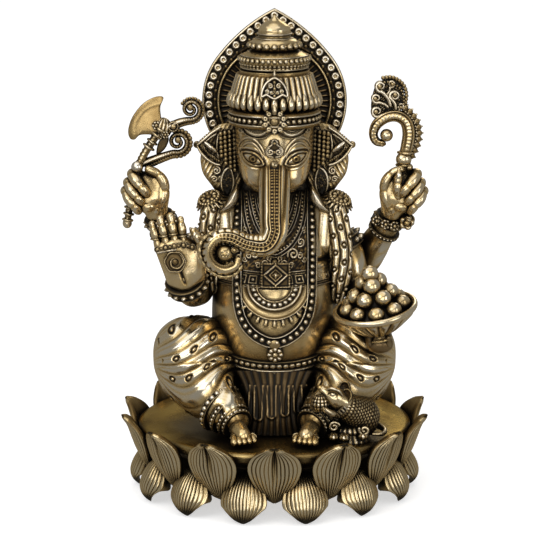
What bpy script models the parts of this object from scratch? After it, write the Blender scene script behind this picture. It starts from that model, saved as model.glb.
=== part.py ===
"""A seated four-armed elephant-headed deity in cast brass, on a two-row lotus base.

Frame: metres, +Z up, the figure faces -Y, and the origin is the middle of the base on the surface it
stands on. The castings are fitted to each other by spigots and sockets with a small gap, the figure is
held on the base by a stud, a washer and a nut, and the halo by a screw.
"""

import math

import bmesh
import bpy
from mathutils import Matrix, Vector

MM = 0.001
GAP = 0.35 * MM  # between any two castings that fit into each other

# Driving dimensions
TOTAL_HEIGHT = 255.0 * MM
DECK_Z = 38.0 * MM  # the floor of the lotus, where the figure sits
DECK_RADIUS = 70.0 * MM
DRUM_BOTTOM_Z = 12.0 * MM  # the drum hangs clear of the ground: the lower petals are the feet
DRUM_RADIUS = 60.0 * MM
WALL = 4.0 * MM
PETAL_COUNT = 14
DRUM_STEPS = 28
STUD_RADIUS = 3.0 * MM
NUT_ACROSS_CORNERS = 11.2 * MM
NUT_HEIGHT = 4.8 * MM
BELLY_RADIUS = 34.0 * MM
CROWN_RADIUS = 24.3 * MM
HALO_CENTRE_Z = 205.0 * MM
HALO_RADIUS = 38.7 * MM
HALO_POINT = 10.8 * MM  # how much further the tip stands out than the round part
HALO_FRONT_Y = 25.2 * MM
HALO_THICKNESS = 4.0 * MM
HALO_SCREW_Z = 182.0 * MM
HALO_SCREW_RADIUS = 1.5 * MM
FIST_RADII = (8.4, 8.0, 10.5)  # in millimetres, as are the limbs' stations below
SWEET_RADIUS = 4.4 * MM
BOWL_RADIUS = 21.7 * MM
BOWL_BASE = Vector((54.5, -40.0, 90.5)) * MM
BOWL_LEAN_DEG = (9.0, -9.0)  # about X towards the front, about Y towards the trunk

POLISHED = (0.62, 0.49, 0.27)
STEEL = (0.55, 0.55, 0.56)


def clear_scene():
    """Removes what a new Blender file holds."""
    for obj in list(bpy.data.objects):
        bpy.data.objects.remove(obj)


def material(name, colour, roughness, metallic=1.0):
    """A plain metal finish."""
    made = bpy.data.materials.new(name)
    made.use_nodes = True
    shader = made.node_tree.nodes["Principled BSDF"]
    shader.inputs["Base Color"].default_value = (*colour, 1.0)
    shader.inputs["Roughness"].default_value = roughness
    shader.inputs["Metallic"].default_value = metallic
    return made


def add_object(name, bm, finish=None):
    """Turns a bmesh into an object whose faces point outwards."""
    bmesh.ops.remove_doubles(bm, verts=bm.verts, dist=0.005 * MM)
    bmesh.ops.recalc_face_normals(bm, faces=bm.faces)
    mesh = bpy.data.meshes.new(name)
    bm.to_mesh(mesh)
    bm.free()
    mesh.shade_smooth()
    mesh.set_sharp_from_angle(angle=math.radians(40))
    obj = bpy.data.objects.new(name, mesh)
    bpy.context.scene.collection.objects.link(obj)
    if finish is not None:
        mesh.materials.append(finish)
    return obj


def loft(name, rings, finish=None):
    """A closed solid through rings of points that all have the same count, capped at both ends."""
    bm = bmesh.new()
    loops = []
    for ring in rings:
        verts = [bm.verts.new(point) for point in ring]
        loops.append(verts)
    for near, far in zip(loops, loops[1:]):
        edges = []
        for loop in (near, far):
            for a, b in zip(loop, loop[1:] + loop[:1]):
                edges.append(bm.edges.get((a, b)) or bm.edges.new((a, b)))
        bmesh.ops.bridge_loops(bm, edges=edges)
    bm.faces.new(loops[0])
    bm.faces.new(loops[-1])
    return add_object(name, bm, finish)


def stacked_rings(levels, sides):
    """Level ellipses from (z, centre_x, centre_y, radius_x, radius_y) in millimetres."""
    rings = []
    for z, cx, cy, rx, ry in levels:
        ring = []
        for step in range(sides):
            turn = 2 * math.pi * step / sides
            ring.append(Vector((cx + rx * math.cos(turn), cy + ry * math.sin(turn), z)) * MM)
        rings.append(ring)
    return rings


def limb(name, stations, sides, finish=None, flat=1.0):
    """A round limb along (x, y, z, radius) stations in millimetres, with rounded ends.

    flat scales the limb across its bending plane's normal, for a flattened piece.
    """
    points = [Vector(station[:3]) * MM for station in stations]
    radii = [station[3] * MM for station in stations]
    side_axis = (points[1] - points[0]).orthogonal().normalized()
    rings = []
    for index, (point, radius) in enumerate(zip(points, radii)):
        before = points[max(index - 1, 0)]
        after = points[min(index + 1, len(points) - 1)]
        along = (after - before).normalized()
        side_axis = (side_axis - along * side_axis.dot(along)).normalized()
        other_axis = along.cross(side_axis)
        ends = {0: -1.0, len(points) - 1: 1.0}
        layers = [(0.0, 1.0)]
        if index in ends:
            cap = [(0.55, 0.83), (0.92, 0.4)]
            layers = [(share * ends[index], scale) for share, scale in cap]
            layers = layers[::-1] + [(0.0, 1.0)] if index == 0 else [(0.0, 1.0)] + layers
        for shift, scale in layers:
            ring = []
            for step in range(sides):
                turn = 2 * math.pi * step / sides
                offset = side_axis * math.cos(turn) + other_axis * math.sin(turn) * flat
                ring.append(point + along * shift * radius + offset * radius * scale)
            rings.append(ring)
    return loft(name, rings, finish)


def ball(name, centre, radii, finish=None):
    """An ellipsoid, in millimetres."""
    bm = bmesh.new()
    size = Matrix.Diagonal((radii[0] * MM, radii[1] * MM, radii[2] * MM, 1.0))
    place = Matrix.Translation(Vector(centre) * MM) @ size
    bmesh.ops.create_icosphere(bm, subdivisions=2, radius=1.0, matrix=place)
    return add_object(name, bm, finish)


def rod(name, start, end, radius, sides=16, finish=None):
    """A straight cylinder between two points, in metres."""
    start, end = Vector(start), Vector(end)
    along = end - start
    bm = bmesh.new()
    turn = along.to_track_quat("Z", "Y").to_matrix().to_4x4()
    place = Matrix.Translation((start + end) / 2) @ turn
    bmesh.ops.create_cone(
        bm,
        cap_ends=True,
        segments=sides,
        radius1=radius,
        radius2=radius,
        depth=along.length,
        matrix=place,
    )
    return add_object(name, bm, finish)


def turned(name, profile, steps, finish=None):
    """Spins a closed (radius, z) outline in millimetres about Z. Radius 0 lies on the axis."""
    bm = bmesh.new()
    verts = [bm.verts.new((radius * MM, 0.0, z * MM)) for radius, z in profile]
    on_axis_ends = profile[0][0] == 0 and profile[-1][0] == 0
    pairs = list(zip(verts, verts[1:]))
    if not on_axis_ends:
        pairs.append((verts[-1], verts[0]))
    edges = [bm.edges.new(pair) for pair in pairs]
    bmesh.ops.spin(
        bm,
        geom=verts + edges,
        cent=(0, 0, 0),
        axis=(0, 0, 1),
        angle=2 * math.pi,
        steps=steps,
        use_merge=True,
    )
    return add_object(name, bm, finish)


def plate(name, outline, front_y, thickness, finish=None):
    """An upright plate from an (x, z) outline in millimetres, thick towards +Y."""
    bm = bmesh.new()
    verts = [bm.verts.new((x * MM, front_y, z * MM)) for x, z in outline]
    face = bm.faces.new(verts)
    grown = bmesh.ops.extrude_face_region(bm, geom=[face])
    moved = [item for item in grown["geom"] if isinstance(item, bmesh.types.BMVert)]
    bmesh.ops.translate(bm, verts=moved, vec=(0, thickness, 0))
    return add_object(name, bm, finish)


def bake_modifiers(obj):
    """Replaces an object's mesh by what its modifiers make of it."""
    bpy.context.view_layer.update()
    graph = bpy.context.evaluated_depsgraph_get()
    mesh = bpy.data.meshes.new_from_object(obj.evaluated_get(graph))
    obj.modifiers.clear()
    obj.data = mesh
    mesh.shade_smooth()
    mesh.set_sharp_from_angle(angle=math.radians(40))


def boolean(obj, other, operation):
    """One exact Boolean, applied at once."""
    step = obj.modifiers.new(operation, "BOOLEAN")
    step.operation = operation
    step.object = other
    bake_modifiers(obj)


def join(obj, *others):
    """Unites the others with obj and removes them."""
    for other in others:
        boolean(obj, other, "UNION")
        bpy.data.objects.remove(other)


def carve(obj, *tools):
    """Cuts a seat for each tool into obj, one gap wider than the tool all over."""
    for tool in tools:
        cutter = tool.copy()
        cutter.data = tool.data.copy()
        bpy.context.scene.collection.objects.link(cutter)
        swell = cutter.modifiers.new("gap", "DISPLACE")
        swell.strength = GAP
        swell.mid_level = 0.0
        bake_modifiers(cutter)
        boolean(obj, cutter, "DIFFERENCE")
        bpy.data.objects.remove(cutter)


# Lotus base ------------------------------------------------------------------------------------


def make_drum(finish):
    """The hollow drum, open underneath, with its deck on top and a bore for the stud."""
    deck = DECK_Z / MM
    rim = DECK_RADIUS / MM
    wall_radius = DRUM_RADIUS / MM
    bottom = DRUM_BOTTOM_Z / MM
    wall = WALL / MM
    bore = STUD_RADIUS / MM + 0.4
    profile = [
        (bore, deck),
        (rim - 14, deck),
        (rim - 1.5, deck + 2.0),
        (rim, deck + 1.2),
        (rim, deck - 3),
        (wall_radius, deck - 12),
        (wall_radius, bottom),
        (wall_radius - wall, bottom),
        (wall_radius - wall, deck - 12),
        (wall_radius - 2 * wall, deck - wall),
        (bore, deck - wall),
    ]
    return turned("lotus_drum", profile, DRUM_STEPS, finish)


def petal_rings(profile, half_widths, cupping, thickness):
    """Cross rings of a petal that points along -Y.

    profile holds (radius, z) of the outer face's middle, and each ring is an outer arc and an inner one.
    """
    outer_steps = (-1.0, -0.5, 0.0, 0.5, 1.0)
    inner_steps = (0.8, 0.0, -0.8)
    points = [Vector((0.0, -radius, z)) * MM for radius, z in profile]
    rings = []
    for index, (point, half) in enumerate(zip(points, half_widths)):
        before = points[max(index - 1, 0)]
        after = points[min(index + 1, len(points) - 1)]
        along = (after - before).normalized()
        outward = along.cross(Vector((1, 0, 0))).normalized()
        if outward.y > 0:
            outward = -outward
        ring = []
        for step in outer_steps:
            drop = cupping[index] * step * step
            ring.append(point + Vector((half * step * MM, 0, 0)) - outward * drop * MM)
        for step in inner_steps:
            drop = cupping[index] * step * step + thickness[index]
            ring.append(point + Vector((half * step * MM, 0, 0)) - outward * drop * MM)
        rings.append(ring)
    return rings


def grind_flat(obj):
    """Takes off what lies below the ground plane and leaves a flat face there."""
    bm = bmesh.new()
    bm.from_mesh(obj.data)
    geometry = bm.verts[:] + bm.edges[:] + bm.faces[:]
    cut = bmesh.ops.bisect_plane(
        bm,
        geom=geometry,
        plane_co=(0, 0, 0),
        plane_no=(0, 0, -1),
        clear_outer=True,
    )
    rim = [item for item in cut["geom_cut"] if isinstance(item, bmesh.types.BMEdge)]
    bmesh.ops.contextual_create(bm, geom=rim)
    bm.to_mesh(obj.data)
    bm.free()


def make_petals(name, rings, first_turn, finish):
    """A ring of equal petals that share one mesh."""
    first = loft(name + "_01", rings, finish)
    grind_flat(first)
    for index in range(PETAL_COUNT):
        petal = first
        if index:
            petal = bpy.data.objects.new(f"{name}_{index + 1:02d}", first.data)
            bpy.context.scene.collection.objects.link(petal)
        petal.rotation_euler.z = first_turn + 2 * math.pi * index / PETAL_COUNT


def make_base(finishes):
    """Drum, both rows of petals and the fixing under the deck."""
    drum = make_drum(finishes["brass"])
    upper = petal_rings(
        profile=[
            (63.5, 13.0),
            (69, 15.5),
            (74, 21.5),
            (76.6, 28),
            (77.6, 35),
            (79.5, 40.5),
            (83.4, 43.6),
        ],
        half_widths=[2.4, 4.4, 9.4, 12.4, 11.8, 7.6, 0.8],
        cupping=[0.4, 0.9, 2.9, 4.2, 3.6, 1.6, 0.1],
        thickness=[2.0, 3.0, 3.0, 2.6, 2.2, 1.8, 0.8],
    )
    make_petals("upper_petal", upper, 0.0, finishes["brass"])
    lower = petal_rings(
        profile=[
            (61.5, 26),
            (66.5, 24.6),
            (72, 20.4),
            (76, 14.4),
            (78, 8.8),
            (77.4, 4.8),
            (73.6, 1.8),
            (68, -1),
        ],
        half_widths=[3.2, 6.2, 9.2, 10.8, 9.8, 7.4, 5.2, 3.0],
        cupping=[0.5, 1.9, 4.2, 5.6, 5.0, 3.0, 1.2, 0.4],
        thickness=[1.6, 3.0, 5.0, 7.6, 9.0, 9.0, 5.6, 3.0],
    )
    make_petals("lower_petal", lower, math.pi / PETAL_COUNT, finishes["brass"])
    return drum


def make_fixing(finish):
    """The stud from the torso down through the deck, with its washer and hexagon nut."""
    under_deck = DECK_Z - WALL
    stud_foot = (0, 0, under_deck - 8 * MM)
    stud_top = (0, 0, DECK_Z + 16 * MM)
    stud = rod("base_stud", stud_foot, stud_top, STUD_RADIUS, 16, finish)
    hole = STUD_RADIUS + 0.3 * MM
    washer_top = (under_deck - 0.4 * MM) / MM
    washer_foot = washer_top - 1.5
    washer_profile = [
        (hole / MM, washer_top),
        (8, washer_top),
        (8, washer_foot),
        (hole / MM, washer_foot),
    ]
    turned("base_washer", washer_profile, 20, finish)
    nut_top = Vector((0, 0, (washer_foot - 0.4) * MM))
    nut_foot = nut_top - Vector((0, 0, NUT_HEIGHT))
    nut = rod("base_nut", nut_top, nut_foot, NUT_ACROSS_CORNERS / 2, 6, finish)
    overrun = Vector((0, 0, MM))
    drill = rod("drill", nut_top + overrun, nut_foot - overrun, hole, 16)
    boolean(nut, drill, "DIFFERENCE")
    bpy.data.objects.remove(drill)
    return stud


# Figure ----------------------------------------------------------------------------------------


def make_torso(finish):
    """Seat, round belly, chest and shoulders as one casting that rests on the deck."""
    belly = BELLY_RADIUS / MM
    levels = [
        (DECK_Z / MM + 0.35, 0, 10, belly - 4, belly - 6),
        (46, 0, 9, belly, belly - 2),
        (62, 0, 4, belly, belly - 1),
        (78, 0, 0, belly - 1, belly + 1),
        (97, 0, -1, belly - 1, belly + 2),
        (114, 0, 1, belly - 2, belly - 2),
        (130, 0, 5, belly - 3, belly - 9),
        (144, 0, 9, belly, belly - 16),
        (154, 0, 11, belly - 2, belly - 20),
        (160, 0, 11, belly - 14, belly - 23),
    ]
    return loft("torso", stacked_rings(levels, 20), finish)


def make_leg(name, side, finish):
    """A folded leg: thigh, round knee and shin in the dhoti, and the bare foot. side is -1 or 1."""
    knee = ball(name, (side * 43.5, -17, 74.5), (22, 21, 23.5), finish)
    thigh = limb("thigh", [(side * 20, 0, 68, 15), (side * 34, -10, 73, 20)], 12)
    shin_stations = [
        (side * 43, -22, 63, 19),
        (side * 36, -30, 57, 15.5),
        (side * 27, -39, 52, 11.5),
        (side * 20, -46, 47, 7),
    ]
    shin = limb("shin", shin_stations, 12)
    foot = limb("foot", [(side * 20, -46, 44.4, 5.4), (side * 16, -57, 42.6, 4)], 10)
    join(knee, thigh, shin, foot)
    return knee


def make_pleats(finish):
    """The pleated front of the dhoti between the legs."""
    levels = [
        (38.6, 0, -37, 15, 5),
        (50, 0, -36, 13, 5),
        (64, 0, -32, 17, 4),
        (71, 0, -30, 20, 3),
    ]
    return loft("dhoti_pleats", stacked_rings(levels, 16), finish)


def make_head(finish):
    """The head on its neck spigot, with a boss behind for the halo's screw."""
    levels = [
        (150, 0, 8, 8, 8),
        (160, 0, 6, 9, 10),
        (163, 0, -3, 12, 15),
        (170, 0, -3, 17.5, 18.5),
        (180, 0, -2, 19.8, 19.8),
        (192, 0, -1, 20.4, 20.6),
        (202, 0, 0, 20.2, 20.2),
        (210, 0, 0, 15, 15),
    ]
    head = loft("head", stacked_rings(levels, 18), finish)
    boss_root = (0, 8 * MM, HALO_SCREW_Z)
    boss_face = (0, HALO_FRONT_Y - GAP, HALO_SCREW_Z)
    boss = rod("boss", boss_root, boss_face, 6 * MM, 12)
    join(head, boss)
    return head


def make_trunk(finish):
    """The trunk: straight down the front, then away to the right hand in a closed curl."""
    stations = [
        (0, -20, 178, 8.0),
        (0, -29, 166, 7.6),
        (0, -36, 154, 6.6),
        (-0.5, -40, 146, 6.0),
        (-5, -43, 140.6, 5.4),
        (-14, -44, 141.6, 4.8),
        (-22, -45, 145.4, 4.2),
        (-29, -45, 145.0, 3.8),
        (-33.4, -45, 139.0, 3.6),
        (-32, -45, 132.0, 3.4),
        (-26, -45, 128.2, 3.1),
        (-20, -45, 130.0, 2.8),
    ]
    return limb("trunk", stations, 10, finish)


def make_curl_sweet(finish):
    """The sweet that the curled trunk holds."""
    return ball("trunk_sweet", (-25.2, -45, 136.8), (4.6, 4.2, 4.6), finish)


def make_ear(name, side, finish):
    """A wide ear, wide at the temple and narrow where it ends on the shoulder."""
    outline = [
        (17, 196),
        (30, 195),
        (41, 185),
        (38.8, 177),
        (38.0, 169),
        (33, 162),
        (28.5, 155),
        (27, 151),
        (20, 156),
        (17, 166),
    ]
    return plate(name, [(side * x, z) for x, z in outline], 4.5 * MM, 5 * MM, finish)


def make_crown(finish):
    """The tiered crown, turned about the head's axis."""
    band = CROWN_RADIUS / MM
    top = TOTAL_HEIGHT / MM - 1.5
    profile = [
        (0, 196.5),
        (band - 1, 196.5),
        (band, 198),
        (band, 203.5),
        (band - 1.5, 205),
        (band, 208),
        (band - 0.6, 213.5),
        (band - 2.5, 214.5),
        (18.5, 224),
        (17.0, 226),
        (18.0, 229),
        (17.0, 233),
        (11.5, 235.5),
        (13.2, 238.5),
        (12.2, 241),
        (8.6, 243),
        (8.6, 246),
        (3.4, 250.5),
        (1.0, top),
        (0, top),
    ]
    return turned("crown", profile, 24, finish)


def halo_outline():
    """A round arch drawn up to a point, on a short stem. Radius grows with a power of the angle."""
    lowest, shoulder, power, steps = -28.0, 35.0, 2.2, 15
    half = []
    for step in range(steps + 1):
        angle = lowest + (90 - lowest) * step / steps
        rise = max(0.0, (angle - shoulder) / (90 - shoulder))
        radius = HALO_RADIUS / MM + HALO_POINT / MM * rise**power
        turn = math.radians(angle)
        half.append((radius * math.cos(turn), HALO_CENTRE_Z / MM + radius * math.sin(turn)))
    stem = [(9, 174), (9, 178), (20, 184)]
    right = stem + half[:-1]
    left = [(-x, z) for x, z in reversed(right)]
    return right + [(0.0, half[-1][1])] + left


def make_halo(finish):
    """The halo plate, with a clearance hole for its screw."""
    halo = plate("halo", halo_outline(), HALO_FRONT_Y, HALO_THICKNESS, finish)
    behind = HALO_FRONT_Y + HALO_THICKNESS
    drill_start = (0, HALO_FRONT_Y - MM, HALO_SCREW_Z)
    drill_end = (0, behind + MM, HALO_SCREW_Z)
    drill = rod("drill", drill_start, drill_end, HALO_SCREW_RADIUS + 0.4 * MM)
    boolean(halo, drill, "DIFFERENCE")
    bpy.data.objects.remove(drill)
    return halo


def make_halo_screw(finish):
    """A round-head screw from behind, through the halo into the head's boss."""
    behind = HALO_FRONT_Y + HALO_THICKNESS
    tip = (0, 12 * MM, HALO_SCREW_Z)
    neck = (0, behind + MM, HALO_SCREW_Z)
    screw = rod("halo_screw", tip, neck, HALO_SCREW_RADIUS, 12, finish)
    seat = (0, behind + GAP, HALO_SCREW_Z)
    top = (0, behind + 2.4 * MM, HALO_SCREW_Z)
    head = rod("screw_head", seat, top, 3.2 * MM)
    join(screw, head)
    return screw


def make_arms(finish):
    """Four arms, each with its hand and a spigot end inside the torso."""
    rear_right_stations = [
        (-22, 18, 140, 8),
        (-36, 19, 128, 9),
        (-47, 17, 118, 8.6),
        (-54, 12, 130, 8),
        (-62, 4, 147, 5.8),
    ]
    rear_right = limb("rear_right_arm", rear_right_stations, 12, finish)
    join(rear_right, ball("fist", (-66.5, 0, 159), FIST_RADII))
    rear_left_stations = [
        (22, 18, 140, 8),
        (36, 19, 130, 9),
        (48, 16, 121, 8.6),
        (54, 11, 131, 8),
        (61.5, 3, 147, 5.8),
    ]
    rear_left = limb("rear_left_arm", rear_left_stations, 12, finish)
    join(rear_left, ball("fist", (66, 0, 159), FIST_RADII))
    front_right_stations = [
        (-26, 4, 144, 9),
        (-36, 1, 128, 9.4),
        (-38, 0, 112, 9),
        (-41.5, -13, 112, 7),
        (-44, -21, 120, 7),
    ]
    front_right = limb("front_right_arm", front_right_stations, 12, finish)
    palm = limb("palm", [(-45, -22, 121, 8.5), (-49.5, -25, 134, 10)], 12, flat=0.5)
    fingers = limb("fingers", [(-50.5, -25, 137, 9), (-54, -25, 149, 6.8)], 12, flat=0.42)
    join(front_right, palm, fingers)
    front_left_stations = [
        (26, 4, 144, 9),
        (37, 2, 128, 9.4),
        (43, 0, 112, 8.6),
        (48, -12, 103, 7),
        (53, -24, 94, 5.5),
    ]
    front_left = limb("front_left_arm", front_left_stations, 12, finish)
    return rear_right, rear_left, front_right, front_left


def make_axe(finish):
    """The battle axe: shaft, blade and two scrolls, cast in one."""
    shaft_stations = [(-77, -1, 145, 2.2), (-66.5, -1, 170, 2.2), (-58, -1, 191, 3.6)]
    shaft = limb("axe", shaft_stations, 10, finish)
    blade_outline = [
        (-58, 196),
        (-57.5, 211),
        (-66, 210),
        (-73, 203),
        (-76.8, 192),
        (-74.5, 187.5),
        (-66, 189),
        (-58, 188),
    ]
    blade = plate("blade", blade_outline, -2.2 * MM, 2.4 * MM)
    upper_stations = [(-58, -1, 193, 2.2), (-50, -1, 199, 2), (-43.5, -1, 203.5, 4.8)]
    upper_scroll = limb("scroll", upper_stations, 8, flat=0.6)
    lower_stations = [(-66, -1, 175, 1.6), (-56, -1, 182, 2.4), (-49, -1, 187.5, 6)]
    lower_scroll = limb("scroll", lower_stations, 8, flat=0.5)
    join(shaft, blade, upper_scroll, lower_scroll)
    return shaft


def make_goad(finish):
    """The goad: a hooked stem through the fist, a crest of leaves on top and a bud below."""
    stations = [
        (69.5, -1, 143, 3.8),
        (67, -1, 158, 2.2),
        (67.5, -1, 174, 3.4),
        (73, -1, 186, 4),
        (71, -1, 197, 4),
        (62, -1, 201, 4),
        (54, -1, 196, 4),
        (52, -1, 189.5, 3.6),
        (58, -1, 188, 4),
    ]
    stem = limb("goad", stations, 10, finish)
    crest = ball("crest", (59.5, -1, 209), (10, 2.6, 11.5))
    join(stem, crest)
    return stem


def bowl_place():
    """Where the bowl stands and how it leans."""
    lean_x, lean_y = (math.radians(angle) for angle in BOWL_LEAN_DEG)
    turn = Matrix.Rotation(lean_y, 4, "Y") @ Matrix.Rotation(lean_x, 4, "X")
    return Matrix.Translation(BOWL_BASE) @ turn


def make_bowl(finish):
    """The footed bowl with a rolled rim."""
    rim = BOWL_RADIUS / MM
    profile = [
        (0, 0),
        (6, 0),
        (5.4, 2.4),
        (9, 5),
        (16, 10),
        (rim, 15.5),
        (rim, 18),
        (rim - 2, 18.4),
        (14.5, 12),
        (7.5, 7.4),
        (0, 6.4),
    ]
    bowl = turned("sweet_bowl", profile, 24, finish)
    bowl.data.transform(bowl_place())
    return bowl


def make_sweets(finish):
    """A heap of round sweets cast in one, in four layers on a cone."""
    core_profile = [(0, 7.4), (7, 8), (14, 13.2), (16, 18), (4, 31), (0, 31)]
    heap = turned("sweets_heap", core_profile, 16, finish)
    layers = [(9, 14.2, 18.6), (6, 9.0, 25.0), (3, 4.6, 31.0), (1, 0.0, 36.2)]
    for count, spread, height in layers:
        for index in range(count):
            turn = 2 * math.pi * (index + 0.5 * (count % 2)) / count
            centre = (spread * math.cos(turn), spread * math.sin(turn), height)
            radius = SWEET_RADIUS / MM
            join(heap, ball("sweet", centre, (radius, radius, radius)))
    heap.data.transform(bowl_place())
    return heap


def make_mouse(finish):
    """The mouse on its small stand, looking up at the figure. The deck later cuts the stand's foot."""
    stand_foot = Vector((39, -43, 37)) * MM
    stand_top = Vector((39, -43, 43)) * MM
    stand = rod("mouse", stand_foot, stand_top, 9.5 * MM, 16, finish)
    body = ball("body", (40.5, -45, 51), (9, 7.5, 10.5))
    neck = limb("neck", [(36, -47, 57, 5.5), (29, -50, 60, 4.6), (23, -52, 62.5, 2)], 10)
    paws = limb("paws", [(35, -50, 52, 2.4), (27, -54, 53.5, 2.2)], 8)
    join(stand, body, neck, paws)
    return stand


def make_figure(finishes, stud, drum):
    """Builds the figure's castings, then cuts the seat of each into its neighbours."""
    brass, steel = finishes["brass"], finishes["steel"]
    torso = make_torso(brass)
    right_leg = make_leg("right_leg", -1, brass)
    left_leg = make_leg("left_leg", 1, brass)
    pleats = make_pleats(brass)
    head = make_head(brass)
    trunk = make_trunk(brass)
    sweet = make_curl_sweet(brass)
    right_ear = make_ear("right_ear", -1, brass)
    left_ear = make_ear("left_ear", 1, brass)
    crown = make_crown(brass)
    make_halo(brass)
    screw = make_halo_screw(steel)
    rear_right, rear_left, front_right, front_left = make_arms(brass)
    axe = make_axe(brass)
    goad = make_goad(brass)
    bowl = make_bowl(brass)
    sweets = make_sweets(brass)
    mouse = make_mouse(brass)

    carve(mouse, drum)
    carve(torso, right_ear, left_ear)
    carve(front_right, right_ear)
    carve(front_left, left_ear)
    carve(torso, head, right_leg, left_leg, pleats, stud)
    carve(torso, rear_right, rear_left, front_right, front_left)
    carve(head, right_ear, left_ear, trunk, screw)
    carve(crown, head)
    carve(trunk, sweet)
    carve(pleats, right_leg, left_leg)
    carve(rear_right, front_right, axe)
    carve(rear_left, front_left, goad)
    carve(front_left, bowl)
    carve(left_leg, front_left, bowl, mouse)
    carve(sweets, bowl, rear_left, front_left)


def main():
    """Builds the whole statue."""
    clear_scene()
    finishes = {
        "brass": material("antique_brass", POLISHED, 0.28),
        "steel": material("zinc_steel", STEEL, 0.35),
    }
    drum = make_base(finishes)
    stud = make_fixing(finishes["steel"])
    make_figure(finishes, stud, drum)


main()
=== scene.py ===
"""The surface of a seated elephant-headed deity in antiqued cast brass, made around its CAD frame.

Every class below is one sub-assembly of the statue. Its shapes are worked out in millimetres as numpy
surfaces in the frame's own axes (+Z up, the figure faces -Y, its right hand is at -X), and turned into
metres when they become meshes. Each mesh carries a value per point for patina and painted shade: 0 on
polished high ground, 1 in the deepest chased lines, and raised on some pieces where shade falls.
"""

import logging
import math
from dataclasses import dataclass
from enum import Enum
from typing import Callable, Sequence, Union

import bpy
import numpy as np
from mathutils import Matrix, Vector


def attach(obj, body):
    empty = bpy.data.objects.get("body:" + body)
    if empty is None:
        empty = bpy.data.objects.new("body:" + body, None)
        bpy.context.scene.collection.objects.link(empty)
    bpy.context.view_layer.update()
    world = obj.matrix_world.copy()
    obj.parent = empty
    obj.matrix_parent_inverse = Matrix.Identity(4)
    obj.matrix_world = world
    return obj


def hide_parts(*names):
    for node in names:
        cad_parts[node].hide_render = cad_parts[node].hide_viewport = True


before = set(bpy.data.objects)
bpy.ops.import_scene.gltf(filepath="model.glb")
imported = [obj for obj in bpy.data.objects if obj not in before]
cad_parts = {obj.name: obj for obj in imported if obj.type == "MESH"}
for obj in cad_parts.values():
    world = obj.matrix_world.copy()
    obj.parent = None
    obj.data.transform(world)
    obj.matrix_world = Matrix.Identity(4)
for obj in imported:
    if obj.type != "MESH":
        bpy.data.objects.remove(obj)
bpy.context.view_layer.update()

Array = np.ndarray
Number = Union[float, "Value"]
Height = Callable[[Array, Array], Array]

MM = 0.001
TURN = 2 * math.pi
# The side of the smallest cell that a surface keeps, in millimetres: on plain forms, on fine chasing and
# on screw threads; and the most cells that one surface keeps.
FINEST = 0.66
FINE_CHASING = 0.38
THREAD_CELL = 0.1
MOST_CELLS = 40000
LOG = logging.getLogger("statue")


# Numbers on grids -------------------------------------------------------------------------------


def step(low: float, high: float, x: Array) -> Array:
    """A smooth step from 0 at low to 1 at high: 3t squared less 2t cubed."""
    t = np.clip((x - low) / (high - low), 0.0, 1.0)
    return t * t * (3.0 - 2.0 * t)


def bell(x: Array, width: float) -> Array:
    """A bell of height 1 round 0: e to the minus square of x over width."""
    return np.exp(-((x / width) ** 2))


def dome(distance: Array, radius: float) -> Array:
    """The height of a ball of that radius above its own middle plane, and 0 outside it."""
    return np.sqrt(np.maximum(radius**2 - distance**2, 0.0))


def nearest(along: Array, pitch: float) -> Array:
    """The signed distance to the nearest of the marks that stand one pitch apart."""
    return along - pitch * np.round(along / pitch)


def blurred(height: Array, reach: int) -> Array:
    """The mean of a grid over a square of 2 reach + 1 cells, from running sums; columns wrap round."""
    reach = max(1, min(reach, (min(height.shape) - 1) // 2))
    size = 2 * reach + 1
    rows = np.pad(height, ((reach + 1, reach), (0, 0)), mode="edge").cumsum(axis=0)
    rows = (rows[size:] - rows[:-size]) / size
    columns = np.pad(rows, ((0, 0), (reach + 1, reach)), mode="wrap").cumsum(axis=1)
    return (columns[:, size:] - columns[:, :-size]) / size


def recess(height: Array, reach: int = 4, depth: float = 0.3, ground: float = 0.25) -> Array:
    """Patina from a relief: how far a point lies below the mean of its surroundings.

    Args:
        height: the relief on its grid.
        reach: half the side of the square whose mean counts as the surroundings, in cells.
        depth: the drop in millimetres that turns flat ground into full patina.
        ground: the patina on flat ground.

    Returns:
        A value from 0 to 1 for each point.
    """
    return np.clip(ground + (blurred(height, reach) - height) / depth, 0.0, 1.0)


def unit(vectors: Array) -> Array:
    """Vectors scaled to length 1, along the last axis."""
    return vectors / np.maximum(np.linalg.norm(vectors, axis=-1, keepdims=True), 1e-12)


def spline(points: Sequence[Sequence[float]], count: int) -> Array:
    """A Catmull-Rom curve through points, read at count places evenly spaced along its length.

    Args:
        points: rows of numbers, the first three of which are a place; others are carried along.
        count: how many rows to return.

    Returns:
        A count by row-length array.
    """
    knots = np.asarray(points, float)
    padded = np.vstack([2 * knots[0] - knots[1], knots, 2 * knots[-1] - knots[-2]])
    t = np.linspace(0, len(knots) - 1, max(8 * count, 400))
    cell = np.minimum(t.astype(int), len(knots) - 2)
    f = (t - cell)[:, None]
    a, b, c, d = (padded[cell + shift] for shift in range(4))
    fine = b + 0.5 * f * (c - a + f * (2 * a - 5 * b + 4 * c - d + f * (3 * (b - c) + d - a)))
    length = np.r_[0.0, np.linalg.norm(np.diff(fine[:, :3], axis=0), axis=1).cumsum()]
    places = np.linspace(0, length[-1], count)
    return np.column_stack([np.interp(places, length, column) for column in fine.T])


def ring(points: Sequence[Sequence[float]], count: int) -> Array:
    """A closed Catmull-Rom curve through points, read at count places evenly spaced along it."""
    knots = np.asarray(points, float)
    wrapped = np.vstack([knots[-2:], knots, knots[:3]])
    fine = spline(wrapped, 12 * count)
    start = np.argmin(np.linalg.norm(fine - knots[0], axis=1)[: 6 * count])
    end = 6 * count + np.argmin(np.linalg.norm(fine - knots[0], axis=1)[6 * count :])
    return fine[np.linspace(start, end, count + 1).astype(int)[:-1]]


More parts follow.
